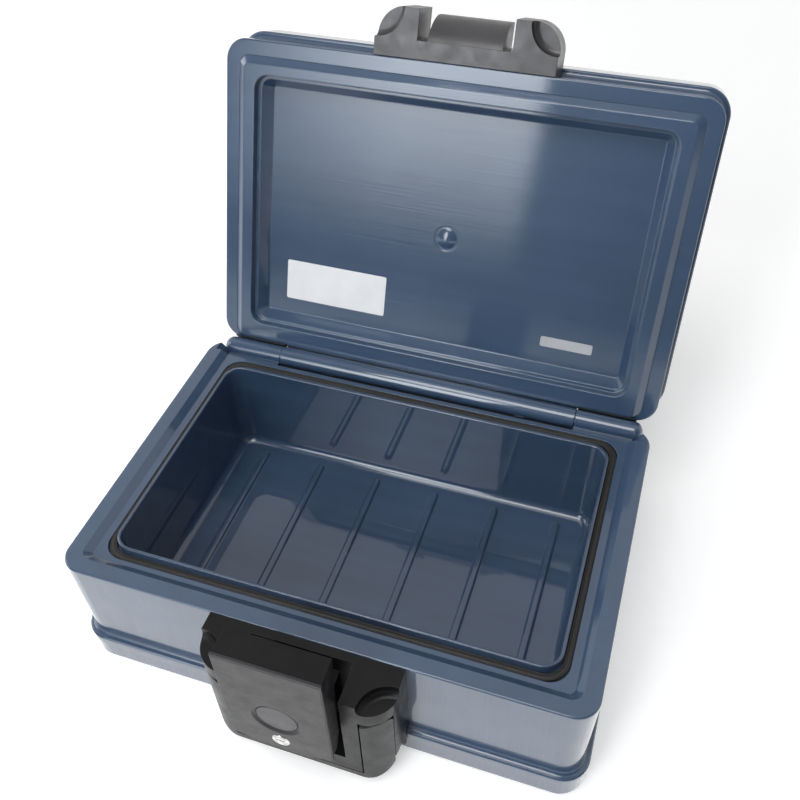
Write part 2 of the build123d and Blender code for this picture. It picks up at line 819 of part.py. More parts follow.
# Latch housing on the front of the base
with BuildPart() as latch_housing:
    extrude(latch_plan(base_level(0), latch_reach), amount=-housing_drop)
    draft_low = wall_height - ledge_fillet - latch_seat_gap
    seat_wedge = [
        (-latch_seat_gap, 0),
        (wall_inset(draft_low) - latch_seat_gap, -draft_low),
        (-latch_seat_gap, -draft_low),
    ]
    bar(side(), seat_wedge, latch_half)
    foot_room = [
        (cut_lap, -wall_height + ledge_room),
        (-foot_proud - latch_seat_gap, -wall_height + ledge_room),
        (-foot_proud - latch_seat_gap, -housing_drop - 1),
        (cut_lap, -housing_drop - 1),
    ]
    bar(side(), foot_room, latch_half + 1, Mode.SUBTRACT)
    window = [
        (-back_plate, 1),
        (-latch_reach - 1, 1),
        (-latch_reach - 1, -window_drop),
        (-back_plate, -window_drop),
    ]
    bar(side(), window, window_half, Mode.SUBTRACT)
    below_bar = [
        (-back_plate, -bottom_bar_drop),
        (-latch_reach - 1, -bottom_bar_drop),
        (-latch_reach - 1, -housing_drop - 1),
        (-back_plate, -housing_drop - 1),
    ]
    bar(side(), below_bar, latch_half + 1, Mode.SUBTRACT)
    jamb_outer = window_half + jamb_width
    arm_room = [
        (-latch_reach - 1, -cap_height),
        (-side_block_reach, -cap_height),
        (-side_block_reach, -side_block_drop),
        (-back_plate, -side_block_drop + side_block_rise),
        (-back_plate, -housing_drop - 1),
        (-latch_reach - 1, -housing_drop - 1),
    ]
    for start in (-latch_half - 1, jamb_outer):
        room_length = latch_half + 1 - jamb_outer
        extrude(profile(side(start), arm_room), amount=room_length, mode=Mode.SUBTRACT)
    scoop(base_level(0), -scoop_depth)
    neck = [
        (-back_plate, case_back[2][1]),
        (-case_back[2][0] + case_seat_gap, case_back[2][1]),
        (-case_back[3][0] + case_seat_gap, case_back[3][1]),
        (-case_back[3][0] + case_seat_gap, -neck_bottom),
        (-back_plate, -neck_bottom),
    ]
    bar(side(), neck, neck_half)
    rod(facing(front + wall_draft), hole_spots, hole_radius, pilot_length, Mode.SUBTRACT)
    case_spots = on_both_sides(case_screw_x, [-case_screw_drop])
    case_hole_radius = case_screw_radius + screw_fit
    case_hole_start = facing(front - case_screw_end + 1)
    rod(case_hole_start, case_spots, case_hole_radius, cut_lap, Mode.SUBTRACT)
    pin_hole_radius = handle_pin_radius + running_clearance
    for start in (-jamb_outer, jamb_outer - handle_pin_depth - 1):
        rod(side(start), [handle_pivot], pin_hole_radius, handle_pin_depth + 1, Mode.SUBTRACT)
latch_housing.part.label = "latch_housing"
export_step(latch_housing.part, "parts/latch_housing.step")

# Screws of the housing, driven from inside the base's front wall
with BuildPart() as housing_screws:
    for drop in housing_screw_drops:
        seat = wall_inset(drop) + shell_wall + screw_seat_gap
        spots = on_both_sides(housing_screw_x, [-drop])
        head_plane = facing(front + seat + screw_head_height)
        rod(head_plane, spots, screw_head_radius, screw_head_height)
        rod(facing(front + seat), spots, screw_radius, seat + screw_bite)
housing_screws.part.label = "housing_screws"
export_step(housing_screws.part, "parts/housing_screws.step")

# Folding handle: two arms, a lower bar and rounded ends at its pivots
with BuildPart() as carry_handle:
    handle_top = -cap_height - handle_top_gap
    handle_back = -latch_reach + handle_thickness
    with BuildSketch(facing(front + handle_back)) as handle_front:
        with Locations((0, (handle_top - handle_drop) / 2)):
            Rectangle(2 * latch_half, handle_drop + handle_top)
        fillet(handle_front.vertices().group_by(Axis.Y)[0], handle_corner)
        inner_height = handle_drop - handle_bar_height
        with Locations((0, -inner_height / 2)):
            Rectangle(2 * handle_arm_inner, inner_height, mode=Mode.SUBTRACT)
    extrude(handle_front.sketch, amount=handle_thickness)
    whole_plan = latch_plan(base_level(0), latch_reach)
    extrude(whole_plan, amount=-handle_drop - cut_lap, mode=Mode.INTERSECT)
    with BuildSketch(side(-latch_half)) as arm_ends:
        with BuildLine():
            ThreePointArc(
                (-latch_reach, handle_pivot[1]),
                (handle_pivot[0], handle_top),
                (handle_back, handle_pivot[1]),
            )
            Polyline(
                (handle_back, handle_pivot[1]),
                (handle_back, 0),
                (-latch_reach, 0),
                (-latch_reach, handle_pivot[1]),
            )
        make_face()
    extrude(arm_ends.sketch, amount=2 * latch_half, mode=Mode.SUBTRACT)
    fillet(edges().filter_by(Axis.X).group_by(Axis.Y)[0], handle_edge)
    arm_bore_end = handle_pin_end + 2 * running_clearance
    for start in (-arm_bore_end, handle_arm_inner - 1):
        bore_length = arm_bore_end - handle_arm_inner + 1
        rod(side(start), [handle_pivot], pin_hole_radius, bore_length, Mode.SUBTRACT)
carry_handle.part.label = "carry_handle"
export_step(carry_handle.part, "parts/carry_handle.step")

# Stub pins that carry the handle's arms in the jambs
with BuildPart() as handle_pivot_pins:
    pin_start = jamb_outer - handle_pin_depth
    for start in (-handle_pin_end, pin_start):
        rod(side(start), [handle_pivot], handle_pin_radius, handle_pin_end - pin_start)
handle_pivot_pins.part.label = "handle_pivot_pins"
export_step(handle_pivot_pins.part, "parts/handle_pivot_pins.step")

# Room inside the lock case
with BuildPart() as lock_room:
    with BuildSketch(side()) as room_side:
        with BuildLine():
            Polyline(*case_points(plate_reach + cut_lap), close=True)
        make_face()
        offset(amount=-case_wall, kind=Kind.INTERSECTION, mode=Mode.REPLACE)
    extrude(room_side.sketch, amount=case_half - case_wall, both=True)
    room_outline = plate_outline(facing(front), plate_overhang + case_wall)
    extrude(room_outline, amount=plate_reach + cut_lap, mode=Mode.INTERSECT)

# Lock case, screwed to the housing's neck
with BuildPart() as lock_case:
    bar(side(), case_points(plate_back_reach), case_half)
    case_outline = plate_outline(facing(front), plate_overhang)
    extrude(case_outline, amount=plate_reach, mode=Mode.INTERSECT)
    add(lock_room.part, mode=Mode.SUBTRACT)
    hook_slot = [
        (-case_back[0][0], hook_slot_bottom),
        (-case_back[0][0], hook_slot_top),
        (-case_back[3][0], hook_slot_top),
        (-case_back[3][0], hook_slot_bottom),
    ]
    bar(side(), hook_slot, hook_half + hook_slot_margin, Mode.SUBTRACT)
    lug = [
        (hook_at[0] - pivot_lug_half, hook_at[1] - pivot_lug_half),
        (hook_at[0] - pivot_lug_half, hook_at[1] + pivot_lug_half),
        (-case_back[1][0] - case_wall / 2, hook_at[1] + pivot_lug_half),
        (-case_back[2][0] + case_wall / 2, hook_at[1] - pivot_lug_half),
    ]
    lug_inner = hook_half + pivot_lug_gap
    for start in (-lug_inner - pivot_lug_width, lug_inner):
        extrude(profile(side(start), lug), amount=pivot_lug_width)
    lug_outer = lug_inner + pivot_lug_width
    pivot_bore = pivot_pin_radius + running_clearance
    rod(side(-lug_outer), [hook_at], pivot_bore, 2 * lug_outer, Mode.SUBTRACT)
    rod(facing(front - neck_reach), case_spots, case_hole_radius, cut_lap / 2, Mode.SUBTRACT)
lock_case.part.label = "lock_case"
export_step(lock_case.part, "parts/lock_case.step")

# Screws of the lock case
with BuildPart() as case_screws:
    case_seat = case_back[3][0] + case_wall + screw_seat_gap
    rod(facing(front - case_seat), case_spots, case_screw_head_radius, screw_head_height)
    rod(
        facing(front - case_screw_end),
        case_spots,
        case_screw_radius,
        case_seat - case_screw_end,
    )
case_screws.part.label = "case_screws"
export_step(case_screws.part, "parts/case_screws.step")

# Front plate of the lock with the button's dish
with BuildPart() as lock_front_plate:
    plate_back = facing(front - plate_back_reach)
    plate_face = facing(front - plate_reach)
    extrude(plate_outline(plate_back, 0), amount=plate_thickness)
    chamfer(edges().group_by(Axis.Y)[0], plate_edge)
    spigot_margin = plate_overhang + case_wall + spigot_fit
    extrude(plate_outline(plate_back, spigot_margin), amount=-plate_spigot)
    spigot_hole = plate_outline(plate_back, spigot_margin + spigot_wall)
    extrude(spigot_hole, amount=-plate_spigot, mode=Mode.SUBTRACT)
    spigot_low = [
        (-plate_back_reach, -spigot_bottom),
        (-plate_back_reach + plate_spigot, -spigot_bottom),
        (-plate_back_reach + plate_spigot, -plate_belly_drop),
        (-plate_back_reach, -plate_belly_drop),
    ]
    bar(side(), spigot_low, case_half, Mode.SUBTRACT)
    with Locations(plate_face):
        with Locations((0, -button_drop, -button_dish_depth / 2)):
            Cone(
                button_dish_floor,
                button_dish_radius,
                button_dish_depth,
                mode=Mode.SUBTRACT,
            )
    button_hole = button_radius + button_fit
    rod(plate_back, [(0, -button_drop)], button_hole, plate_thickness, Mode.SUBTRACT)
    key_hole = key_radius + key_fit
    rod(plate_back, [(0, -key_drop)], key_hole, plate_thickness, Mode.SUBTRACT)
lock_front_plate.part.label = "lock_front_plate"
export_step(lock_front_plate.part, "parts/lock_front_plate.step")

# Push button: disc, retaining flange and domed nub that bears on the hook
with BuildPart() as push_button:
    flange_back = flange_front_reach - button_flange_thickness
    button_spot = [(0, -button_drop)]
    rod(facing(front - flange_back), button_spot, button_radius, button_face - flange_back)
    fillet(edges().group_by(Axis.Y)[0], button_edge)
    rod(facing(front - flange_back), button_spot, button_flange, button_flange_thickness)
    with Locations((0, front - nub_centre, rim - button_drop)):
        Sphere(button_nub_radius)
push_button.part.label = "push_button"
export_step(push_button.part, "parts/push_button.step")

# Catch hook: upright lever, tip that swings over the lid's catch, and pivot boss
with BuildPart() as catch_hook:
    tip_low = bracket_top + hook_tip_gap
    tip_y, tip_z = drawn_back(hook_tip_reach, tip_low)
    slope = tan(radians(hook_angle))
    lever_front = hook_at[0] - hook_thickness / 2
    lever_back = hook_at[0] + hook_thickness / 2
    nose = tip_y - hook_nose
    lever = [
        (lever_front, -hook_tail_drop),
        (lever_front, tip_z - (tip_y - lever_front) * slope + hook_tip_thickness),
        (nose, tip_z - hook_nose * slope + hook_tip_thickness),
        (tip_y, tip_z + hook_tip_thickness - hook_nose),
        (tip_y, tip_z),
        (lever_back, tip_z - (tip_y - lever_back) * slope),
        (lever_back, -hook_tail_drop),
    ]
    bar(side(), lever, hook_half)
    spring_window = [
        (lever_front - 1, hook_at[1] - hook_window),
        (lever_front - 1, hook_at[1] + hook_window),
        (lever_back + 1, hook_at[1] + hook_window),
        (lever_back + 1, hook_at[1] - hook_window),
    ]
    window_face = profile(side(hook_boss_end), spring_window)
    extrude(window_face, amount=hook_half - hook_boss_end, mode=Mode.SUBTRACT)
    rod(side(-hook_half), [hook_at], hook_boss_radius, hook_half + hook_boss_end)
    rod(side(-hook_half), [hook_at], pivot_bore, 2 * hook_half, Mode.SUBTRACT)
catch_hook.part.label = "catch_hook"
export_step(catch_hook.part, "parts/catch_hook.step")

# Pin and coil spring of the hook
with BuildPart() as hook_pivot_pin:
    rod(side(-lug_outer), [hook_at], pivot_pin_radius, 2 * lug_outer)
hook_pivot_pin.part.label = "hook_pivot_pin"
export_step(hook_pivot_pin.part, "parts/hook_pivot_pin.step")

with BuildPart() as hook_spring:
    spring_start = Vector(hook_boss_end + 2 * spring_wire, front + hook_at[0], rim + hook_at[1])
    with BuildLine() as coil:
        Helix(
            spring_pitch,
            spring_pitch * spring_turns,
            spring_radius,
            center=spring_start,
            direction=(1, 0, 0),
        )
    with BuildSketch(Plane(origin=coil.line @ 0, z_dir=coil.line % 0)) as wire:
        Circle(spring_wire)
    sweep(wire.sketch, path=coil.line, is_frenet=True)
hook_spring.part.label = "hook_spring"
export_step(hook_spring.part, "parts/hook_spring.step")

# Key lock: fixed cylinder, turning plug with its keyway, cam and clip
with BuildPart() as key_cylinder:
    key_spot = [(0, -key_drop)]
    key_face = plate_reach + key_proud
    key_length = key_face - key_back
    rod(facing(front - key_back), key_spot, key_radius, key_length)
    chamfer(edges().group_by(Axis.Y)[0], key_edge)
    plug_bore = plug_radius + running_clearance
    rod(facing(front - key_back), key_spot, plug_bore, key_length, Mode.SUBTRACT)
key_cylinder.part.label = "key_cylinder"
export_step(key_cylinder.part, "parts/key_cylinder.step")

with BuildPart() as key_plug:
    rod(facing(front - cam_front), key_spot, plug_radius, key_face - cam_front)
    rod(facing(front - shaft_end), key_spot, shaft_radius, cam_front - shaft_end)
    with BuildSketch(facing(front - key_face)) as keyway:
        with Locations((0, -key_drop)):
            Rectangle(key_slot[1], key_slot[0])
    extrude(keyway.sketch, amount=-key_slot_depth, mode=Mode.SUBTRACT)
key_plug.part.label = "key_plug"
export_step(key_plug.part, "parts/key_plug.step")

with BuildPart() as lock_cam:
    cam_back = cam_front - cam_thickness
    with BuildSketch(facing(front - cam_back)) as cam:
        with Locations((0, -key_drop)):
            Circle(cam_hub_radius)
        with Locations((cam_length / 2, -key_drop)):
            Rectangle(cam_length, cam_width)
        with Locations((0, -key_drop)):
            Circle(shaft_radius + screw_fit, mode=Mode.SUBTRACT)
    extrude(cam.sketch, amount=cam_thickness)
lock_cam.part.label = "lock_cam"
export_step(lock_cam.part, "parts/lock_cam.step")

with BuildPart() as cam_clip:
    rod(facing(front - shaft_end), key_spot, cam_clip_radius, cam_clip_thickness)
    clip_bore = shaft_radius + screw_fit
    rod(facing(front - shaft_end), key_spot, clip_bore, cam_clip_thickness, Mode.SUBTRACT)
cam_clip.part.label = "cam_clip"
export_step(cam_clip.part, "parts/cam_clip.step")
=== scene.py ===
"""Looks for the fireproof document case: its finishes, rim seal, screws, studio and camera.

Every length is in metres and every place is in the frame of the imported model.
"""
import logging
import math
from abc import ABC, abstractmethod
from dataclasses import dataclass, fields
from enum import Enum
from typing import Any, Sequence, Union

import bmesh
import bpy
from mathutils import Matrix, Vector


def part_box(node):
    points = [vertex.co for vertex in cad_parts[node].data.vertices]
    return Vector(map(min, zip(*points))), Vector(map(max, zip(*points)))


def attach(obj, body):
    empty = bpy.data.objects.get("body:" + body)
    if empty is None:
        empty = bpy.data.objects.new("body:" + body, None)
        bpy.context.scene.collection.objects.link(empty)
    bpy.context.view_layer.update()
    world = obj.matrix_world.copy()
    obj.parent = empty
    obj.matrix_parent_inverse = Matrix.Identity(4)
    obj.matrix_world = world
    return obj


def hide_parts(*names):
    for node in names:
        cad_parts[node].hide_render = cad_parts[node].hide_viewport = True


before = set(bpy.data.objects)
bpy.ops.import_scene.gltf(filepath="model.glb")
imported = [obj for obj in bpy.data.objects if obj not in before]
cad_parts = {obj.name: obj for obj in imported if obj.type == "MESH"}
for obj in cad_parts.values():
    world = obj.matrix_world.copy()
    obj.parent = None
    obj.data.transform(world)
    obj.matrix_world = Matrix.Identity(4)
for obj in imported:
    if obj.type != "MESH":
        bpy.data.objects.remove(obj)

JOIN_DISTANCE = 0.000001
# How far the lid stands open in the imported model.
OPENING = math.radians(110.0)

Material = bpy.types.Material
Socket = bpy.types.NodeSocket
Colour = tuple[float, float, float, float]
Pair = tuple[float, float]
Triple = tuple[float, float, float]
Value = Union[float, Sequence[float], Socket]

WHITE: Colour = (1.0, 1.0, 1.0, 1.0)
# The range that nearly all of a noise pattern's values lie in.
USUAL: Pair = (0.3, 0.7)
# How alike the true and the softened direction are, on a flat and on a full edge.
EDGE_LIKENESS: Pair = (1.0, 0.86)

log = logging.getLogger("document_case")


class Body(Enum):
    """The bodies that the pieces move with."""

    BASE = "base"
    LID = "lid"


class Slot(Enum):
    """Names of material slots in the imported model, listed with the hinge's new pieces but not
    read.
    """

    SHELL = "case_shell"
    SEAL = "seal"
    DARK = "latch_plastic"
    STEEL = "steel"


class Lay(Enum):
    """How a wall's moulding streaks lie."""

    WIDTHWISE = "widthwise"
    UPRIGHT = "upright"


def paint(red: int, green: int, blue: int) -> Colour:
    """Turn a colour as seen on a screen into the linear colour that a shader takes.

    Args:
        red: Red from 0 to 255.
        green: Green from 0 to 255.
        blue: Blue from 0 to 255.

    Returns:
        The linear colour with full opacity.
    """
    def linear(value: int) -> float:
        """Undo the screen's curve for one channel."""
        share = value / 255.0
        return share / 12.92 if share <= 0.04045 else ((share + 0.055) / 1.055) ** 2.4

    return linear(red), linear(green), linear(blue), 1.0


def link(name: str, data: bpy.types.ID) -> bpy.types.Object:
    """Put data into the scene as an object at the origin.

    Args:
        name: The object's name.
        data: Its mesh, light or camera.

    Returns:
        The object.
    """
    made = bpy.data.objects.new(name, data)
    bpy.context.scene.collection.objects.link(made)
    return made


def piece_from(
    name: str, work: bmesh.types.BMesh, mesh: bpy.types.Mesh, sharp: float
) -> bpy.types.Object:
    """Join a piece's doubled points, turn its faces outwards, shade it and link it.

    Args:
        name: The piece's name.
        work: Its shape, used up here.
        mesh: The mesh that keeps it.
        sharp: The angle past which an edge stays sharp.

    Returns:
        The piece, at the origin, with its place in its mesh.
    """
    bmesh.ops.remove_doubles(work, verts=work.verts, dist=JOIN_DISTANCE)
    bmesh.ops.recalc_face_normals(work, faces=work.faces)
    work.to_mesh(mesh)
    work.free()
    mesh.shade_smooth()
    mesh.set_sharp_from_angle(angle=sharp)
    mesh.name = name
    return link(name, mesh)


class Nodes:
    """A node tree, put together by short calls."""

    def __init__(self, tree: bpy.types.NodeTree) -> None:
        """Take a tree and empty it."""
        self.tree = tree
        self.tree.nodes.clear()

    def add(
        self, kind: str, inputs: dict[Any, Any], output: Union[int, str] = 0, **settings: Any
    ) -> Socket:
        """Add a node, set what it is given and link what is a socket.

        Args:
            kind: The node's type name.
            inputs: Values, sockets or lists of sockets, keyed by the input's name or number.
            output: The name or number of the output that is wanted.
            settings: The node's own properties.

        Returns:
            The new node's output.
        """
        node = self.tree.nodes.new(kind)
        for name, setting in settings.items():
            setattr(node, name, setting)
        for key, given in inputs.items():
            for value in given if isinstance(given, list) else [given]:
                if isinstance(value, Socket):
                    self.tree.links.new(value, node.inputs[key])
                else:
                    node.inputs[key].default_value = value
        return node.outputs[output]

    def split(self, vector: Socket) -> Sequence[Socket]:
        """A vector's three parts."""
        return self.add("ShaderNodeSeparateXYZ", {0: vector}).node.outputs

    def levels(
        self, value: Socket, reach: Pair, target: Pair = (0.0, 1.0), **settings: Any
    ) -> Socket:
        """Move a value from one range to another and hold it there.

        Args:
            value: The value.
            reach: The range that it comes from.
            target: The range that it goes to.
            settings: The node's own properties.

        Returns:
            The moved value.
        """
        (low, high), (start, end) = reach, target
        inputs = {"Value": value, "From Min": low, "From Max": high, "To Min": start, "To Max": end}
        return self.add("ShaderNodeMapRange", inputs, **settings)

    def maths(self, operation: str, first: Value, second: Value = 0.0) -> Socket:
        """Join two values by the named sum."""
        return self.add("ShaderNodeMath", {0: first, 1: second}, operation=operation)

    def times(self, first: Value, second: Value) -> Socket:
        """Multiply two values."""
        return self.maths("MULTIPLY", first, second)

    def show(self, shader: Socket, kind: str = "ShaderNodeOutputMaterial") -> None:
        """Close the tree with a shader."""
        self.tree.links.new(shader, self.tree.nodes.new(kind).inputs["Surface"])


class Graph(Nodes):
    """The node tree of one material."""

    def __init__(self, name: str) -> None:
        """Start an empty tree.

        Args:
            name: The material's name.
        """
        self.material = bpy.data.materials.new(name)
        self.material.use_nodes = True
        super().__init__(self.material.node_tree)
        self.object_place = self.add("ShaderNodeTexCoord", {}, "Object")

    def place(self, size: Union[float, Triple], centre: Triple = (0.0, 0.0, 0.0)) -> Socket:
        """Coordinates on the object, measured in a pattern's own size.

        Args:
            size: Length of one unit of the pattern, the same every way or along X, Y and Z.
            centre: The point that the pattern starts from.

        Returns:
            The coordinates.
        """
        scale = size if isinstance(size, tuple) else (size, size, size)
        inputs = {"Vector": self.object_place, "Location": centre, "Scale": scale}
        return self.add("ShaderNodeMapping", inputs, vector_type="TEXTURE")

    def noise(
        self, size: Union[float, Triple], detail: float = 3.0, roughness: float = 0.5
    ) -> Socket:
        """Soft random variation of a given size, about a half and mostly in the usual range."""
        inputs = {"Scale": 1.0, "Detail": detail, "Roughness": roughness}
        return self.add("ShaderNodeTexNoise", {"Vector": self.place(size), **inputs})

    def blend(self, share: Value, first: Value, second: Value) -> Socket:
        """Mix two colours, by the share of the second."""
        return self.add("ShaderNodeMix", {0: share, 6: first, 7: second}, 2, data_type="RGBA")

    def rounded(self, radius: float) -> Socket:
        """The surface's direction, with every edge softened over a radius."""
        return self.add("ShaderNodeBevel", {"Radius": radius}, samples=6)

    def edges(self, rounded: Socket) -> Socket:
        """Where the surface has an edge.

        Args:
            rounded: The softened normal.

        Returns:
            Nought on flats, rising to 1 on an edge.
        """
        inputs = {0: self.add("ShaderNodeNewGeometry", {}, "Normal"), 1: rounded}
        likeness = self.add("ShaderNodeVectorMath", inputs, "Value", operation="DOT_PRODUCT")
        return self.levels(likeness, EDGE_LIKENESS)

    def relief(self, height: Socket, depth: float, normal: Socket) -> Socket:
        """Turn a height from 0 to 1 into relief of that depth, as a new normal."""
        inputs = {"Height": height, "Distance": depth, "Strength": 1.0, "Normal": normal}
        return self.add("ShaderNodeBump", inputs)

    def surface(self, inputs: dict[str, Value]) -> Material:
        """Close the tree with a surface shader and give the finished material."""
        self.show(self.add("ShaderNodeBsdfPrincipled", inputs))
        return self.material


class Finish(ABC):
    """A surface finish, which makes one material."""

    @abstractmethod
    def material(self) -> Material:
        """Make the finish's material."""


@dataclass(frozen=True)
class MouldedGloss(Finish):
    """Glossy moulded plastic with clouds, flow streaks and a clear, slightly wavy skin."""

    name: str
    light: Colour = paint(62, 83, 110)
    deep: Colour = paint(53, 73, 99)
    worn: Colour = paint(92, 112, 138)
    streaks: Lay = Lay.WIDTHWISE
    cloud_size: float = 0.11
    streak_size: Pair = (0.09, 0.0011)
    streak_depth: float = 0.00002
    sweep_size: Pair = (0.2, 0.012)
    sweep_share: float = 0.5
    wave_size: float = 0.035
    wave_depth: float = 0.00002
    smudge_size: float = 0.03
    smudge_reach: Pair = (0.35, 0.7)
    uneven_reach: Pair = (0.12, 0.4)
    tones: Pair = (0.55, 0.95)
    wear: Pair = (0.1, 0.5)
    edge: float = 0.0008
    roughness: Pair = (0.3, 0.42)
    shine: float = 0.25
    coat: float = 1.0
    coat_roughness: float = 0.05
    coat_bend: float = 1.6

    def laid(self, size: Pair) -> Triple:
        """Lay a streak the way that the wall's streaks lie.

        Args:
            size: The streak's length and breadth.

        Returns:
            Its size along X, Y and Z.
        """
        length, breadth = size
        if self.streaks is Lay.WIDTHWISE:
            return length, breadth, breadth
        return breadth, breadth, length

    def material(self) -> Material:
        """Make the moulded plastic.

        Returns:
            The material.
        """
        graph = Graph(self.name)
        clouds = graph.noise(self.cloud_size)
        streaks = graph.noise(self.laid(self.streak_size), detail=4.0)
        sweeps = graph.noise(self.laid(self.sweep_size), detail=2.0)
        waves = graph.noise(self.wave_size, detail=1.0)
        smudges = graph.noise(self.smudge_size, detail=5.0, roughness=0.6)
        rounded = graph.rounded(self.edge)
        tone = graph.maths("ADD", clouds, graph.times(sweeps, self.sweep_share))
        body = graph.blend(graph.levels(tone, self.tones), self.deep, self.light)
        rubbed = graph.levels(smudges, self.smudge_reach, self.wear)
        wear = graph.times(graph.edges(rounded), rubbed)
        colour = graph.blend(wear, body, self.worn)
        uneven = graph.times(smudges, streaks)
        streaked = graph.relief(streaks, self.streak_depth, rounded)
        normal = graph.relief(waves, self.wave_depth, streaked)
        return graph.surface({
            "Base Color": colour,
            "Roughness": graph.levels(uneven, self.uneven_reach, self.roughness),
            "Specular IOR Level": self.shine,
            "Coat Weight": self.coat,
            "Coat Roughness": self.coat_roughness,
            "Coat IOR": self.coat_bend,
            "Normal": normal,
            "Coat Normal": normal,
        })


@dataclass(frozen=True)
class SatinPlastic(Finish):
    """Satin plastic with a fine moulded grain and faint drag lines."""

    name: str
    light: Colour
    deep: Colour
    worn: Colour
    cloud_size: float = 0.04
    grain_size: float = 0.0007
    grain_depth: float = 0.00001
    drag_size: Triple = (0.05, 0.0006, 0.0006)
    drag_depth: float = 0.000008
    drag_share: float = 0.6
    rub_size: float = 0.012
    rub_reach: Pair = (0.35, 0.65)
    tones: Pair = (0.6, 1.05)
    wear: Pair = (0.15, 0.7)
    edge: float = 0.0005
    roughness: Pair = (0.3, 0.44)
    shine: float = 0.28

    def material(self) -> Material:
        """Make the satin plastic.

        Returns:
            The material.
        """
        graph = Graph(self.name)
        clouds = graph.noise(self.cloud_size)
        grain = graph.noise(self.grain_size, detail=2.0)
        drag = graph.noise(self.drag_size, detail=3.0)
        rub = graph.noise(self.rub_size, detail=5.0, roughness=0.65)
        rounded = graph.rounded(self.edge)
        tone = graph.maths("ADD", clouds, graph.times(drag, self.drag_share))
        body = graph.blend(graph.levels(tone, self.tones), self.deep, self.light)
        rubbed = graph.levels(rub, self.rub_reach, self.wear)
        wear = graph.times(graph.edges(rounded), rubbed)
        grained = graph.relief(grain, self.grain_depth, rounded)
        return graph.surface({
            "Base Color": graph.blend(wear, body, self.worn),
            "Roughness": graph.levels(rub, self.rub_reach, self.roughness),
            "Specular IOR Level": self.shine,
            "Normal": graph.relief(drag, self.drag_depth, grained),
        })


@dataclass(frozen=True)
class SealRubber(Finish):
    """Extruded black rubber, paler along its middle with dust and a painted sheen on its crown."""

    name: str
    dark: Colour = paint(17, 16, 16)
    # Paler colour of the middle: dust, and a painted sheen on the band's crown.
    dust_and_sheen: Colour = paint(37, 31, 28)
    across: str = "across"
    middle_reach: Pair = (0.25, 1.0)
    middle_share: Pair = (0.0, 0.75)
    dust_size: float = 0.006
    dust_reach: Pair = (0.3, 0.65)
    dust_share: Pair = (0.35, 1.0)
    grain_size: float = 0.0006
    grain_depth: float = 0.00003
    edge: float = 0.0003
    roughness: Pair = (0.42, 0.62)
    sheen: float = 0.15
    sheen_roughness: float = 0.4

    def material(self) -> Material:
        """Make the rubber.

        Returns:
            The material.
        """
        graph = Graph(self.name)
        across = graph.add("ShaderNodeAttribute", {}, "Fac", attribute_name=self.across)
        dust = graph.noise(self.dust_size, detail=5.0, roughness=0.65)
        grain = graph.noise(self.grain_size, detail=2.0)
        # The paler middle is partly dust and partly a painted sheen on the band's rounded crown.
        middle = graph.levels(across, self.middle_reach, self.middle_share)
        share = graph.times(middle, graph.levels(dust, self.dust_reach, self.dust_share))
        return graph.surface({
            "Base Color": graph.blend(share, self.dark, self.dust_and_sheen),
            "Roughness": graph.levels(dust, USUAL, self.roughness),
            "Sheen Weight": self.sheen,
            "Sheen Roughness": self.sheen_roughness,
            "Normal": graph.relief(grain, self.grain_depth, graph.rounded(self.edge)),
        })


@dataclass(frozen=True)
class CastFilling(Finish):
    """Pale cast mineral filling with open pores."""

    name: str
    pale: Colour = paint(206, 200, 189)
    dark: Colour = paint(158, 151, 140)
    cloud_size: float = 0.03
    sand_size: float = 0.0012
    sand_depth: float = 0.00025
    pore_size: float = 0.006
    pore_depth: float = 0.0005
    pore_reach: Pair = (0.1, 0.35)
    tones: Pair = (0.2, 1.0)
    edge: float = 0.001
    roughness: Pair = (0.8, 0.95)

    def material(self) -> Material:
        """Make the cast filling.

        Returns:
            The material.
        """
        graph = Graph(self.name)
        clouds = graph.noise(self.cloud_size, detail=5.0, roughness=0.6)
        sand = graph.noise(self.sand_size, detail=3.0)
        inputs = {"Vector": graph.place(self.pore_size), "Scale": 1.0}
        pores = graph.levels(graph.add("ShaderNodeTexVoronoi", inputs), self.pore_reach)
        # The pores are painted darker, as painted shade in their hollows, and are sunk by the
        # relief below.
        tone = graph.times(graph.levels(clouds, USUAL, self.tones), pores)
        coarse = graph.relief(pores, self.pore_depth, graph.rounded(self.edge))
        return graph.surface({
            "Base Color": graph.blend(tone, self.dark, self.pale),
            "Roughness": graph.levels(sand, USUAL, self.roughness),
            "Normal": graph.relief(sand, self.sand_depth, coarse),
        })


@dataclass(frozen=True)
class BrushedSteel(Finish):
    """Plain steel with fine brush marks and a little staining."""

    name: str
    bright: Colour = paint(186, 188, 190)
    dull: Colour = paint(138, 139, 141)
    brush_size: Triple = (0.02, 0.0004, 0.0004)
    brush_depth: float = 0.000012
    stain_size: float = 0.008
    tones: Pair = (0.75, 1.25)
    edge: float = 0.0003
    roughness: Pair = (0.24, 0.42)

    def material(self) -> Material:
        """Make the brushed steel.

        Returns:
            The material.
        """
        graph = Graph(self.name)
        brush = graph.noise(self.brush_size, detail=3.0)
        stain = graph.noise(self.stain_size, detail=5.0, roughness=0.6)
        tone = graph.levels(graph.maths("ADD", brush, stain), self.tones)
        return graph.surface({
            "Base Color": graph.blend(tone, self.dull, self.bright),
            "Metallic": 1.0,
            "Roughness": graph.levels(stain, USUAL, self.roughness),
            "Normal": graph.relief(brush, self.brush_depth, graph.rounded(self.edge)),
        })


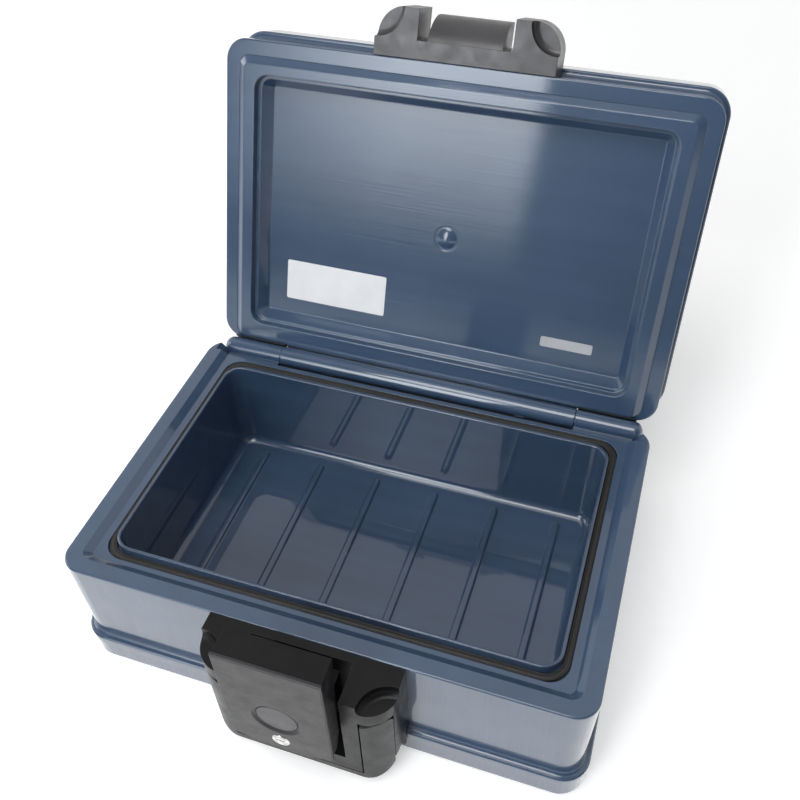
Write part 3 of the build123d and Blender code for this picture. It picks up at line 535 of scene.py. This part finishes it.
@dataclass(frozen=True)
class PlatedMetal(Finish):
    """Bright plated metal, turned on a lathe and lightly scratched by its key."""

    name: str
    centre: Triple
    bright: Colour = paint(222, 222, 220)
    dull: Colour = paint(164, 163, 160)
    ring_size: float = 0.0012
    ring_depth: float = 0.00001
    ring_waver: float = 0.4
    scratch_size: Triple = (0.0002, 0.004, 0.003)
    scratch_depth: float = 0.000006
    haze_size: float = 0.003
    tones: Pair = (0.8, 1.15)
    edge: float = 0.0003
    roughness: Pair = (0.1, 0.24)

    def material(self) -> Material:
        """Make the plated metal.

        Returns:
            The material.
        """
        graph = Graph(self.name)
        place = graph.place(self.ring_size, self.centre)
        inputs = {"Vector": place, "Scale": 1.0, "Distortion": self.ring_waver, "Detail": 2.0}
        settings = {"wave_type": "RINGS", "rings_direction": "Y"}
        turning = graph.add("ShaderNodeTexWave", inputs, 1, **settings)
        scratches = graph.noise(self.scratch_size, detail=4.0, roughness=0.7)
        haze = graph.noise(self.haze_size, detail=4.0)
        tone = graph.levels(graph.maths("ADD", scratches, haze), self.tones)
        fine = graph.relief(scratches, self.scratch_depth, graph.rounded(self.edge))
        return graph.surface({
            "Base Color": graph.blend(tone, self.dull, self.bright),
            "Metallic": 1.0,
            "Roughness": graph.levels(haze, USUAL, self.roughness),
            "Normal": graph.relief(turning, self.ring_depth, fine),
        })


@dataclass(frozen=True)
class LabelFilm(Finish):
    """Printed-stock film with a faint tooth and slightly greyed edges."""

    name: str
    white: Colour
    grey: Colour
    cloud_size: float = 0.02
    tooth_size: float = 0.0004
    tooth_depth: float = 0.000008
    cloud_reach: Pair = (0.35, 0.65)
    cloud_share: Pair = (0.0, 0.4)
    edge: float = 0.0002
    edge_share: float = 0.8
    roughness: Pair = (0.38, 0.5)

    def material(self) -> Material:
        """Make the label film.

        Returns:
            The material.
        """
        graph = Graph(self.name)
        clouds = graph.noise(self.cloud_size, detail=4.0)
        tooth = graph.noise(self.tooth_size, detail=2.0)
        rounded = graph.rounded(self.edge)
        share = graph.times(graph.edges(rounded), self.edge_share)
        cloudy = graph.levels(clouds, self.cloud_reach, self.cloud_share)
        body = graph.blend(cloudy, self.white, self.grey)
        return graph.surface({
            "Base Color": graph.blend(share, body, self.grey),
            "Roughness": graph.levels(tooth, USUAL, self.roughness),
            "Normal": graph.relief(tooth, self.tooth_depth, rounded),
        })


BASE_SHELL = MouldedGloss(
    "base_shell_plastic", streaks=Lay.UPRIGHT, streak_depth=0.000005, wave_depth=0.000006
)
LOCK_BODY = SatinPlastic(
    "lock_body_plastic", paint(22, 22, 23), paint(15, 15, 16), paint(60, 60, 62), shine=0.2
)
FILLING = CastFilling("cast_filling")
STEEL = BrushedSteel("brushed_steel")


@dataclass(frozen=True)
class Coat:
    """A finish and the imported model's nodes that it goes on."""

    finish: Finish
    nodes: tuple[str, ...]


class Paintbox:
    """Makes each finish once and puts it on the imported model's nodes and on new pieces."""

    def __init__(self) -> None:
        """Start with no material made."""
        self.made: dict[Finish, Material] = {}

    def material(self, finish: Finish) -> Material:
        """The finish's one material.

        Args:
            finish: The finish.

        Returns:
            Its material, made on first use.
        """
        if finish not in self.made:
            self.made[finish] = finish.material()
        return self.made[finish]

    def dress(self, coat: Coat) -> None:
        """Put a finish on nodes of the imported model.

        Args:
            coat: The finish and the nodes.
        """
        material = self.material(coat.finish)
        for node in coat.nodes:
            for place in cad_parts[node].material_slots:
                place.material = material
            log.info("dressed %s in %s", node, material.name)


class ShapeTree(Nodes):
    """A Geometry Nodes tree with named sizes, baked into a plain mesh."""

    def __init__(self, name: str) -> None:
        """Start a tree that takes a mesh and gives a mesh.

        Args:
            name: The tree's name.
        """
        super().__init__(bpy.data.node_groups.new(name, "GeometryNodeTree"))
        self.sizes: dict[str, float] = {}
        self.start = self.tree.nodes.new("NodeGroupInput")
        self.end = self.tree.nodes.new("NodeGroupOutput")
        for way in ("INPUT", "OUTPUT"):
            self.tree.interface.new_socket("Geometry", in_out=way, socket_type="NodeSocketGeometry")

    def size(self, name: str, value: float) -> Socket:
        """Add a named size to the tree.

        Args:
            name: The size's name.
            value: Its value here.

        Returns:
            The socket that gives it inside the tree.
        """
        made = self.tree.interface.new_socket(name, in_out="INPUT", socket_type="NodeSocketFloat")
        self.sizes[made.identifier] = value
        return self.start.outputs[name]

    def vector(self, x: Value, y: Value, z: Value) -> Socket:
        """A vector from its three parts."""
        return self.add("ShaderNodeCombineXYZ", {0: x, 1: y, 2: z})

    def close(self, shape: Socket, material: Material) -> None:
        """End the tree with real geometry in its material.

        Args:
            shape: The geometry.
            material: The material that it gets.
        """
        real = self.add("GeometryNodeRealizeInstances", {0: shape})
        dressed = self.add("GeometryNodeSetMaterial", {0: real, "Material": material})
        self.tree.links.new(dressed, self.end.inputs[0])

    def bake(self, name: str, seeds: bpy.types.Mesh, sharp: float) -> bpy.types.Object:
        """Run the tree on a mesh and keep the result as a plain piece.

        Args:
            name: The piece's name.
            seeds: The mesh that the tree starts from.
            sharp: The angle past which an edge stays sharp.

        Returns:
            The piece.
        """
        holder = link(name + "_holder", seeds)
        modifier = holder.modifiers.new("shape", "NODES")
        modifier.node_group = self.tree
        for identifier, value in self.sizes.items():
            modifier[identifier] = value
        graph = bpy.context.evaluated_depsgraph_get()
        mesh = bpy.data.meshes.new_from_object(
            holder.evaluated_get(graph), preserve_all_data_layers=True, depsgraph=graph
        )
        holder.modifiers.remove(modifier)
        bpy.data.objects.remove(holder)
        work = bmesh.new()
        work.from_mesh(mesh)
        return piece_from(name, work, mesh, sharp)


@dataclass
class RimSeal:
    """The rubber seal that lies in the base's groove and meets the lid's rim."""

    band: float = 0.0051
    corner: float = 0.0141
    corner_points: int = 14
    shoulder: float = 0.0011
    shoulder_points: int = 6
    groove_from_middle: float = 0.0013
    groove_width: float = 0.00032
    groove_depth: float = 0.00035
    profile_points: int = 64
    sharp: float = 1.2
    finish: SealRubber = SealRubber("seal_rubber")

    def tree(self, material: Material) -> ShapeTree:
        """Sweep a grooved band round the rim.

        Args:
            material: The rubber.

        Returns:
            The tree, with the seal's sizes as its inputs.
        """
        low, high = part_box("tray_gasket")
        shape = ShapeTree("rim_seal")
        width = shape.size("Path Width", high.x - low.x - self.band)
        depth = shape.size("Path Depth", high.y - low.y - self.band)
        corner = shape.size("Path Corner", self.corner)
        band_width = shape.size("Band Width", self.band)
        band_height = shape.size("Band Height", high.z - low.z)
        shoulder = shape.size("Shoulder Radius", self.shoulder)
        apart = shape.size("Groove From Middle", self.groove_from_middle)
        groove = shape.size("Groove Width", self.groove_width)
        sunk = shape.size("Groove Depth", self.groove_depth)
        middle = shape.size("Middle", (low.y + high.y) / 2)
        level = shape.size("Level", (low.z + high.z) / 2)

        def rounded(across: Socket, along: Socket, radius: Socket, count: int) -> Socket:
            """A rounded rectangle as a closed line.

            Args:
                across: Its width.
                along: Its height.
                radius: Its corners' radius.
                count: How many points each corner has.

            Returns:
                The line.
            """
            plain = shape.add("GeometryNodeCurvePrimitiveQuadrilateral", {0: across, 1: along})
            inputs = {"Curve": plain, "Radius": radius, "Count": count, "Limit Radius": True}
            return shape.add("GeometryNodeFilletCurve", inputs, mode="POLY")

        path = rounded(width, depth, corner, self.corner_points)
        upright = shape.add("GeometryNodeSetCurveNormal", {0: path}, mode="Z_UP")
        line = rounded(band_width, band_height, shoulder, self.shoulder_points)
        inputs = {"Curve": line, "Count": self.profile_points}
        fine = shape.add("GeometryNodeResampleCurve", inputs)
        parts = shape.split(shape.add("GeometryNodeInputPosition", {}))
        from_middle = shape.maths("ABSOLUTE", parts[0])
        away = shape.maths("DIVIDE", shape.maths("SUBTRACT", from_middle, apart), groove)
        steep = shape.times(shape.maths("POWER", away, 2.0), -1.0)
        dip = shape.times(shape.maths("EXPONENT", steep), sunk)
        drop = shape.times(dip, shape.maths("LESS_THAN", parts[1], 0.0))
        inputs = {0: fine, "Offset": shape.vector(0.0, drop, 0.0)}
        grooved = shape.add("GeometryNodeSetPosition", inputs)
        half = shape.times(band_width, 0.5)
        nearness = shape.maths("SUBTRACT", 1.0, shape.maths("DIVIDE", from_middle, half))
        inputs = {0: grooved, "Name": self.finish.across, "Value": nearness}
        settings = {"data_type": "FLOAT", "domain": "POINT"}
        marked = shape.add("GeometryNodeStoreNamedAttribute", inputs, **settings)
        swept = shape.add("GeometryNodeCurveToMesh", {0: upright, "Profile Curve": marked})
        inputs = {0: swept, "Translation": shape.vector(0.0, middle, level)}
        shape.close(shape.add("GeometryNodeTransform", inputs), material)
        return shape

    def build(self, paintbox: Paintbox) -> None:
        """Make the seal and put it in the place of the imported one.

        Args:
            paintbox: The finishes.
        """
        seeds = bpy.data.meshes.new("rim_seal_start")
        seal = self.tree(paintbox.material(self.finish)).bake("rim_seal", seeds, self.sharp)
        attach(seal, Body.BASE.value)
        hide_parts("tray_gasket")
        log.info("built rim_seal with %d faces", len(seal.data.polygons))


@dataclass
class ScrewSet:
    """One set of equal screws with cross recesses and rolled threads."""

    name: str
    node: str
    body: Body
    lean: float
    head_radius: float = 0.0032
    head_height: float = 0.0022
    crown_share: float = 0.4
    crown_narrowing: float = 0.78
    shank_radius: float = 0.00175
    length: float = 0.0204
    core_share: float = 0.8
    tip_share: float = 0.35
    recess_width: float = 0.0009
    recess_reach: float = 0.0032
    recess_depth: float = 0.0013
    thread_pitch: float = 0.0012
    thread_share: float = 0.86
    thread_rise: float = 0.06
    thread_start: float = 0.42
    ridge_share: float = 0.16
    ridge_sides: int = 4
    head_sides: int = 32
    core_sides: int = 20
    turn_points: int = 16
    sharp: float = 0.6
    finish: BrushedSteel = STEEL

    def heads(self) -> list[Vector]:
        """Find the middle of each packed screw's head.

        Returns:
            One point for each screw.
        """
        work = bmesh.new()
        work.from_mesh(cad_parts[self.node].data)
        bmesh.ops.remove_doubles(work, verts=work.verts, dist=JOIN_DISTANCE)
        out = Vector((0.0, -math.sin(self.lean), math.cos(self.lean)))
        side = Vector((0.0, out.z, -out.y))
        left = set(work.verts)
        points = []
        while left:
            queue = [left.pop()]
            group = list(queue)
            while queue:
                vertex = queue.pop()
                near = {edge.other_vert(vertex) for edge in vertex.link_edges} & left
                left -= near
                queue.extend(near)
                group.extend(near)
            across, down, along = (
                [axis.dot(vertex.co) for vertex in group]
                for axis in (Vector((1.0, 0.0, 0.0)), side, out)
            )
            middle = Vector(((min(across) + max(across)) / 2, 0.0, 0.0))
            points.append(middle + side * (min(down) + max(down)) / 2 + out * max(along))
        work.free()
        return sorted(points, key=lambda point: (round(point.x, 4), point.z))

    def tree(self, material: Material) -> ShapeTree:
        """Put a screw on every point.

        Args:
            material: The steel.

        Returns:
            The tree, with the screw's sizes as its inputs.
        """
        shape = ShapeTree(self.name)
        head_radius = shape.size("Head Radius", self.head_radius)
        head_height = shape.size("Head Height", self.head_height)
        shank_radius = shape.size("Shank Radius", self.shank_radius)
        length = shape.size("Length", self.length)
        recess_width = shape.size("Recess Width", self.recess_width)
        recess_reach = shape.size("Recess Reach", self.recess_reach)
        recess_depth = shape.size("Recess Depth", self.recess_depth)
        pitch = shape.size("Thread Pitch", self.thread_pitch)
        lean = shape.size("Lean", self.lean)

        def moved(made: Socket, height: Value) -> Socket:
            """A piece of the screw, moved along its axis."""
            inputs = {0: made, "Translation": shape.vector(0.0, 0.0, height)}
            return shape.add("GeometryNodeTransform", inputs)

        inputs = {
            "Vertices": self.head_sides,
            "Radius": head_radius,
            "Depth": shape.times(head_height, 1.0 - self.crown_share),
        }
        collar = shape.add("GeometryNodeMeshCylinder", inputs)
        inputs = {
            "Vertices": self.head_sides,
            "Radius Top": shape.times(head_radius, self.crown_narrowing),
            "Radius Bottom": head_radius,
            "Depth": shape.times(head_height, self.crown_share),
        }
        crown = shape.add("GeometryNodeMeshCone", inputs)
        stacked = [
            moved(collar, shape.times(head_height, -(1.0 + self.crown_share) / 2)),
            moved(crown, shape.times(head_height, -self.crown_share)),
        ]
        head = shape.add("GeometryNodeMeshBoolean", {"Mesh 2": stacked}, operation="UNION")
        bars = []
        for across, along in ((recess_reach, recess_width), (recess_width, recess_reach)):
            size = shape.vector(across, along, shape.times(recess_depth, 2.0))
            bars.append(shape.add("GeometryNodeMeshCube", {"Size": size}))
        inputs = {"Mesh 1": head, "Mesh 2": bars}
        cut = shape.add("GeometryNodeMeshBoolean", inputs, operation="DIFFERENCE")
        core_radius = shape.times(shank_radius, self.core_share)
        shank_length = shape.maths("SUBTRACT", length, head_height)
        inputs = {
            "Vertices": self.core_sides,
            "Radius Top": core_radius,
            "Radius Bottom": shape.times(shank_radius, self.tip_share),
            "Depth": shank_length,
        }
        core = shape.add("GeometryNodeMeshCone", inputs)
        thread_length = shape.times(shank_length, self.thread_share)
        inputs = {
            "Resolution": self.turn_points,
            "Rotations": shape.maths("DIVIDE", thread_length, pitch),
            "Start Radius": shape.times(shank_radius, self.thread_start),
            "End Radius": core_radius,
            "Height": thread_length,
        }
        helix = shape.add("GeometryNodeCurveSpiral", inputs)
        ridge_radius = shape.times(shank_radius, self.ridge_share)
        inputs = {"Resolution": self.ridge_sides, "Radius": ridge_radius}
        ridge = shape.add("GeometryNodeCurvePrimitiveCircle", inputs)
        inputs = {0: helix, "Profile Curve": ridge, "Fill Caps": True}
        thread = shape.add("GeometryNodeCurveToMesh", inputs)
        foot = shape.times(length, -1.0)
        raised = shape.maths("ADD", foot, shape.times(shank_length, self.thread_rise))
        pieces = [cut, moved(core, foot), moved(thread, raised)]
        inputs = {
            0: shape.start.outputs[0],
            "Instance": shape.add("GeometryNodeJoinGeometry", {0: pieces}),
            "Rotation": shape.add("FunctionNodeEulerToRotation", {0: shape.vector(lean, 0.0, 0.0)}),
        }
        shape.close(shape.add("GeometryNodeInstanceOnPoints", inputs), material)
        return shape

    def build(self, paintbox: Paintbox) -> None:
        """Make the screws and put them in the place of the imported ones.

        Args:
            paintbox: The finishes.
        """
        points = self.heads()
        seeds = bpy.data.meshes.new(self.name + "_places")
        seeds.from_pydata([tuple(point) for point in points], [], [])
        screws = self.tree(paintbox.material(self.finish)).bake(self.name, seeds, self.sharp)
        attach(screws, self.body.value)
        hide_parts(self.node)
        log.info("built %s: %d screws", self.name, len(points))


@dataclass
class Dressed:
    """A sub-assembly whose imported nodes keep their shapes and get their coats."""

    def build(self, paintbox: Paintbox) -> None:
        """Put on every coat among the fields."""
        for field in fields(self):
            paintbox.dress(getattr(self, field.name))


@dataclass
class CaseBase(Dressed):
    """The lower shell with its tray and filling, and the pin of the hinge."""

    shell: Coat = Coat(BASE_SHELL, ("base_outer_shell",))
    tray: Coat = Coat(
        MouldedGloss(
            "tray_plastic",
            paint(57, 77, 103),
            paint(46, 64, 88),
            paint(104, 124, 150),
            streak_depth=0.000004,
            wave_depth=0.000012,
            edge=0.0016,
            coat_roughness=0.02,
        ),
        ("base_inner_tray",),
    )
    filling: Coat = Coat(FILLING, ("base_fire_fill",))
    pin: Coat = Coat(STEEL, ("hinge_pin",))


@dataclass
class HingeTrim:
    """The dark strips and washers that fill the hinge's gaps as painted shade, and the rounded ends
    that close its gaps.
    """

    axis_y: float = 0.1243
    axis_z: float = 0.0977
    pin_bore: float = 0.0026
    barrel_radius: float = 0.008
    barrel_half: float = 0.1224
    knuckle_start: float = 0.123
    knuckle_end: float = 0.168
    stop_from: float = 0.0759
    stop_to: float = 0.0841
    channel_inner: float = 0.0087
    channel_outer: float = 0.0104
    channel_arc: Pair = (195.0, 274.0)
    flap_inner: float = 0.0089
    flap_outer: float = 0.0098
    flap_arc: Pair = (-25.0, 52.0)
    washer_thickness: float = 0.0004
    washer_inset: float = 0.0003
    washer_steps: int = 48
    end_length: float = 0.0066
    sharp: float = 0.7
    shell: MouldedGloss = BASE_SHELL
    # The black plastic of the painted-shade strips, flaps and washers.
    dark: SatinPlastic = LOCK_BODY

    def around(self, x: float, radius: float, degrees: float) -> Vector:
        """A point at an angle round the hinge's axis.

        Args:
            x: How far right it is.
            radius: Its distance from the axis.
            degrees: Its angle, from the back upwards.

        Returns:
            The point.
        """
        angle = math.radians(degrees)
        y, z = radius * math.cos(angle), radius * math.sin(angle)
        return Vector((x, self.axis_y + y, self.axis_z + z))

    def bow(
        self, work: bmesh.types.BMesh, span: Pair, radii: Pair, arc: Pair, steps: int = 24
    ) -> None:
        """Add a curved strip that follows the hinge.

        Args:
            work: The mesh that it goes into.
            span: Where it starts and ends along X.
            radii: Its inner and outer radius.
            arc: The angles that it starts and ends at.
            steps: How many faces go round it.
        """
        left, right = span
        inner, outer = radii
        corners = [(left, inner), (right, inner), (right, outer), (left, outer)]
        rows = []
        for step in range(steps + 1):
            degrees = arc[0] + (arc[1] - arc[0]) * step / steps
            rows.append([work.verts.new(self.around(x, radius, degrees)) for x, radius in corners])
        for low, high in zip(rows, rows[1:]):
            for near in range(4):
                far = (near + 1) % 4
                work.faces.new((low[near], low[far], high[far], high[near]))
        if abs(arc[1] - arc[0]) < 360.0:
            work.faces.new(rows[0])
            work.faces.new(rows[-1][::-1])

    def dome(
        self, work: bmesh.types.BMesh, side: float, rings: int = 8, segments: int = 40
    ) -> None:
        """Add a rounded end to a knuckle.

        Args:
            work: The mesh that it goes into.
            side: 1 on the right and -1 on the left.
            rings: How many rings it has.
            segments: How many faces go round it.
        """
        rows = []
        for ring in range(rings):
            angle = math.pi / 2 * ring / rings
            x = side * (self.knuckle_end + self.end_length * math.sin(angle))
            radius = self.barrel_radius * math.cos(angle)
            rows.append([
                work.verts.new(self.around(x, radius, 360.0 * number / segments))
                for number in range(segments)
            ])
        tip = work.verts.new(self.around(side * (self.knuckle_end + self.end_length), 0.0, 0.0))
        for low, high in zip(rows, rows[1:]):
            for near in range(segments):
                far = (near + 1) % segments
                work.faces.new((low[near], low[far], high[far], high[near]))
        for near in range(segments):
            work.faces.new((rows[-1][near], rows[-1][(near + 1) % segments], tip))
        work.faces.new(rows[0][::-1])

    def build(self, paintbox: Paintbox) -> None:
        """Make the hinge's trim.

        Args:
            paintbox: The finishes.
        """
        channel, flaps, washers, ends = (bmesh.new() for _ in range(4))
        radii = (self.channel_inner, self.channel_outer)
        for span in (
            (-self.barrel_half, -self.stop_to),
            (-self.stop_from, self.stop_from),
            (self.stop_to, self.barrel_half),
        ):
            self.bow(channel, span, radii, self.channel_arc)
        for side in (-1.0, 1.0):
            knuckle = (side * self.knuckle_start, side * self.knuckle_end)
            self.bow(flaps, knuckle, (self.flap_inner, self.flap_outer), self.flap_arc)
            gap_middle = side * (self.barrel_half + self.knuckle_start) / 2
            span = (gap_middle - self.washer_thickness / 2, gap_middle + self.washer_thickness / 2)
            radii = (self.pin_bore, self.barrel_radius - self.washer_inset)
            self.bow(washers, span, radii, (0.0, 360.0), self.washer_steps)
            self.dome(ends, side)
        # The channel, flaps and washers are dark pieces of painted shade where the hinge has only
        # gaps; the ends are shell plastic.
        for name, work, finish, body, slot in (
            ("hinge_shade_channel", channel, self.dark, Body.BASE, Slot.DARK),
            ("hinge_shade_flaps", flaps, self.dark, Body.LID, Slot.DARK),
            ("hinge_shade_washers", washers, self.dark, Body.BASE, Slot.DARK),
            ("hinge_ends", ends, self.shell, Body.BASE, Slot.SHELL),
        ):
            piece = piece_from(name, work, bpy.data.meshes.new(name), self.sharp)
            piece.data.materials.append(paintbox.material(finish))
            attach(piece, body.value)
            log.info("built %s", name)


@dataclass
class CaseLid(Dressed):
    """The lid's shell, inner panel and filling, and its two bare labels."""

    shell: Coat = Coat(MouldedGloss("lid_shell_plastic"), ("lid_outer_shell",))
    panel: Coat = Coat(
        MouldedGloss("lid_panel_plastic", streak_depth=0.00004, edge=0.0015), ("lid_inner_panel",)
    )
    filling: Coat = Coat(FILLING, ("lid_fire_fill",))
    rating: Coat = Coat(
        LabelFilm("white_label_film", paint(236, 236, 238), paint(219, 220, 223)),
        ("rating_label",),
    )
    serial: Coat = Coat(
        LabelFilm("grey_label_film", paint(186, 188, 193), paint(160, 163, 169)),
        ("serial_label",),
    )


@dataclass
class Latch(Dressed):
    """The latch housing, the lid's catch bracket and the hook that joins them."""

    housing: Coat = Coat(
        SatinPlastic(
            "housing_plastic", paint(21, 21, 22), paint(14, 14, 15), paint(60, 59, 61), shine=0.22
        ),
        ("latch_housing",),
    )
    # Paler paint than the housing's same black plastic: partly a painted sheen, standing in for the
    # front light that the bracket reflects.
    bracket: Coat = Coat(
        SatinPlastic(
            "bracket_plastic",
            paint(52, 51, 54),
            paint(40, 39, 42),
            paint(106, 105, 108),
            shine=0.75,
        ),
        ("lid_catch_bracket",),
    )
    steel: Coat = Coat(STEEL, ("catch_hook", "hook_pivot_pin", "hook_spring"))


@dataclass
class CarryHandle(Dressed):
    """The folding handle and the pins that it swings on."""

    plastic: Coat = Coat(
        SatinPlastic("handle_plastic", paint(27, 27, 28), paint(19, 19, 20), paint(68, 67, 69)),
        ("carry_handle",),
    )
    steel: Coat = Coat(STEEL, ("handle_pivot_pins",))


@dataclass
class KeyLock(Dressed):
    """The lock's case, front plate, button and key cylinder, with the cam behind it."""

    body: Coat = Coat(LOCK_BODY, ("lock_case",))
    plate: Coat = Coat(
        SatinPlastic(
            "lock_plate_plastic", paint(58, 56, 58), paint(48, 46, 48), paint(112, 109, 111)
        ),
        ("lock_front_plate",),
    )
    button: Coat = Coat(
        SatinPlastic("button_plastic", paint(88, 85, 87), paint(74, 71, 73), paint(146, 143, 145)),
        ("push_button",),
    )
    plating: Coat = Coat(
        PlatedMetal("key_plating", (0.0, 0.0, 0.0683)), ("key_cylinder", "key_plug")
    )
    steel: Coat = Coat(STEEL, ("lock_cam", "cam_clip"))


@dataclass
class Softbox:
    """A lit panel in front of the case, fading towards its left and its foot."""

    name: str = "front_softbox"
    left: float = -1.15
    right: float = -0.2
    bottom: float = 0.25
    top: float = 1.9
    distance: float = 1.5
    strength: float = 7.8
    fade_side: float = 0.6
    fade_rise: float = 0.35
    colour: Colour = (0.93, 0.97, 1.0, 1.0)

    def build(self) -> None:
        """Make the lit panel, hidden from the camera."""
        corners = [
            (self.left, -self.distance, self.bottom),
            (self.right, -self.distance, self.bottom),
            (self.right, -self.distance, self.top),
            (self.left, -self.distance, self.top),
        ]
        mesh = bpy.data.meshes.new(self.name)
        mesh.from_pydata(corners, [], [(3, 2, 1, 0)])
        graph = Graph(self.name + "_glow")
        size = (self.right - self.left, 1.0, self.top - self.bottom)
        parts = graph.split(graph.place(size, (self.left, 0.0, self.bottom)))
        rise = graph.levels(parts[2], (0.0, self.fade_rise))
        side = graph.levels(parts[0], (0.0, self.fade_side))
        glow = graph.times(graph.times(rise, side), self.strength)
        graph.show(graph.add("ShaderNodeEmission", {"Color": self.colour, "Strength": glow}))
        mesh.materials.append(graph.material)
        panel = link(self.name, mesh)
        panel.visible_camera = False
        panel.visible_shadow = False


@dataclass
class Studio:
    """A pale floor, a white surround and soft lamps."""

    floor_reach: float = 6.0
    fibre: float = 0.004
    floor_roughness: Pair = (0.4, 0.6)
    floor_colour: Colour = (0.86, 0.86, 0.86, 1.0)
    floor_lift: float = 0.42
    gloss_lift: float = 0.62
    paper_reach: Pair = (0.7, 1.7)
    fill: float = 0.26
    room: float = 0.08
    ceiling: float = 0.85
    behind: Pair = (-0.35, 0.25)
    above: Pair = (0.12, 0.5)
    overhead_power: float = 15.0
    side_power: float = 12.0

    def build(self) -> None:
        """Make the floor, the surround and the lamps."""
        self.floor()
        self.surround()
        self.lamps()
        Softbox().build()
        log.info("built the studio")

    def floor(self) -> None:
        """Make the floor, which shows white to the camera and keeps the shadow."""
        reach = self.floor_reach
        mesh = bpy.data.meshes.new("floor")
        corners = [(-reach, -reach), (reach, -reach), (reach, reach), (-reach, reach)]
        mesh.from_pydata([(x, y, 0.0) for x, y in corners], [], [(0, 1, 2, 3)])
        graph = Graph("floor_paper")
        fibres = graph.noise(self.fibre, detail=2.0)
        roughness = graph.levels(fibres, USUAL, self.floor_roughness)
        inputs = {"Color": self.floor_colour, "Roughness": roughness}
        matte = graph.add("ShaderNodeBsdfDiffuse", inputs)
        seen = graph.add("ShaderNodeLightPath", {}).node.outputs
        camera, gloss = seen["Is Camera Ray"], seen["Is Glossy Ray"]
        camera_lift = graph.times(camera, self.floor_lift)
        gloss_lift = graph.times(gloss, self.gloss_lift)
        lift = graph.maths("ADD", camera_lift, gloss_lift)
        glow = graph.add("ShaderNodeEmission", {"Color": WHITE, "Strength": lift})
        near = graph.add("ShaderNodeAddShader", {0: matte, 1: glow})
        inputs = {0: graph.object_place}
        distance = graph.add("ShaderNodeVectorMath", inputs, "Value", operation="LENGTH")
        away = graph.levels(distance, self.paper_reach)
        direct = graph.times(graph.maths("MAXIMUM", camera, gloss), away)
        white = graph.add("ShaderNodeEmission", {"Color": WHITE, "Strength": 1.0})
        graph.show(graph.add("ShaderNodeMixShader", {0: direct, 1: near, 2: white}))
        mesh.materials.append(graph.material)
        floor = link("floor", mesh)

    def surround(self) -> None:
        """Make the surround: white to the camera, and for gloss dim in front."""
        world = bpy.data.worlds.new("surround")
        bpy.context.scene.world = world
        world.use_nodes = True
        nodes = Nodes(world.node_tree)
        parts = nodes.split(nodes.add("ShaderNodeTexCoord", {}, "Generated"))
        soft = {"interpolation_type": "SMOOTHSTEP"}
        depth = nodes.levels(parts[1], self.behind, (self.room, 1.0), **soft)
        height = nodes.levels(parts[2], self.above, (1.0, self.ceiling), **soft)
        fill, gloss, white = (
            nodes.add("ShaderNodeBackground", {"Color": WHITE, "Strength": strength})
            for strength in (self.fill, nodes.times(depth, height), 1.0)
        )
        path = nodes.add("ShaderNodeLightPath", {}).node.outputs
        lit = nodes.add("ShaderNodeMixShader", {0: path["Is Glossy Ray"], 1: fill, 2: gloss})
        seen = nodes.add("ShaderNodeMixShader", {0: path["Is Camera Ray"], 1: lit, 2: white})
        nodes.show(seen, "ShaderNodeOutputWorld")

    def lamps(self) -> None:
        """Hang the soft lamps, hidden from the camera."""
        for name, spot, aim, size, power in (
            ("overhead", (-0.1, -0.5, 1.9), (0.0, 0.05, 0.1), 0.9, self.overhead_power),
            ("left_side", (-2.0, -0.2, 0.9), (0.0, 0.0, 0.1), 1.2, self.side_power),
        ):
            light = bpy.data.lights.new(name, "AREA")
            light.shape = "RECTANGLE"
            light.size = light.size_y = size
            light.energy = power
            lamp = link(name, light)
            lamp.location = spot
            lamp.rotation_mode = "QUATERNION"
            lamp.rotation_quaternion = (Vector(aim) - Vector(spot)).to_track_quat("-Z", "Y")
            lamp.visible_camera = False


@dataclass
class ViewCamera:
    """The camera, at the photograph's viewing angle."""

    place: Triple = (0.15697, -0.3713, 0.6094)
    aim: Triple = (-0.01, 0.0956, 0.107)
    roll: float = 0.0309
    lens: float = 40.78
    sensor: float = 36.0
    nearest: float = 0.01

    def build(self) -> None:
        """Make the camera and give it to the scene."""
        data = bpy.data.cameras.new("view_camera")
        data.lens = self.lens
        data.sensor_width = self.sensor
        data.clip_start = self.nearest
        camera = link("view_camera", data)
        ahead = (Vector(self.aim) - Vector(self.place)).normalized()
        level = ahead.cross(Vector((0.0, 0.0, 1.0))).normalized()
        upright = level.cross(ahead)
        right = level * math.cos(self.roll) - upright * math.sin(self.roll)
        up = right.cross(ahead)
        turn = Matrix((right, up, -ahead)).transposed().to_4x4()
        camera.matrix_world = Matrix.Translation(Vector(self.place)) @ turn
        bpy.context.scene.camera = camera
        bpy.context.scene.view_settings.view_transform = "Standard"
        log.info("set the camera")


def plain(box: tuple[Vector, Vector]) -> list[list[float]]:
    """A box's two corners as plain lists of numbers."""
    return [[float(value) for value in corner] for corner in box]


def main() -> None:
    """Build every sub-assembly, then the studio and the camera."""
    logging.basicConfig(level=logging.INFO, format="%(message)s")
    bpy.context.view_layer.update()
    paintbox = Paintbox()
    upright = -math.pi / 2
    lock_sizes = {"head_radius": 0.0028, "shank_radius": 0.0015, "length": 0.0168}
    for part in (
        CaseBase(),
        CaseLid(),
        Latch(),
        CarryHandle(),
        KeyLock(),
        RimSeal(),
        HingeTrim(),
        ScrewSet("latch_screws", "housing_screws", Body.BASE, upright),
        ScrewSet("catch_screws", "bracket_screws", Body.LID, upright - OPENING),
        ScrewSet("lock_screws", "case_screws", Body.BASE, upright, **lock_sizes),
    ):
        part.build(paintbox)
    Studio().build()
    ViewCamera().build()


if __name__ == "__main__":
    main()
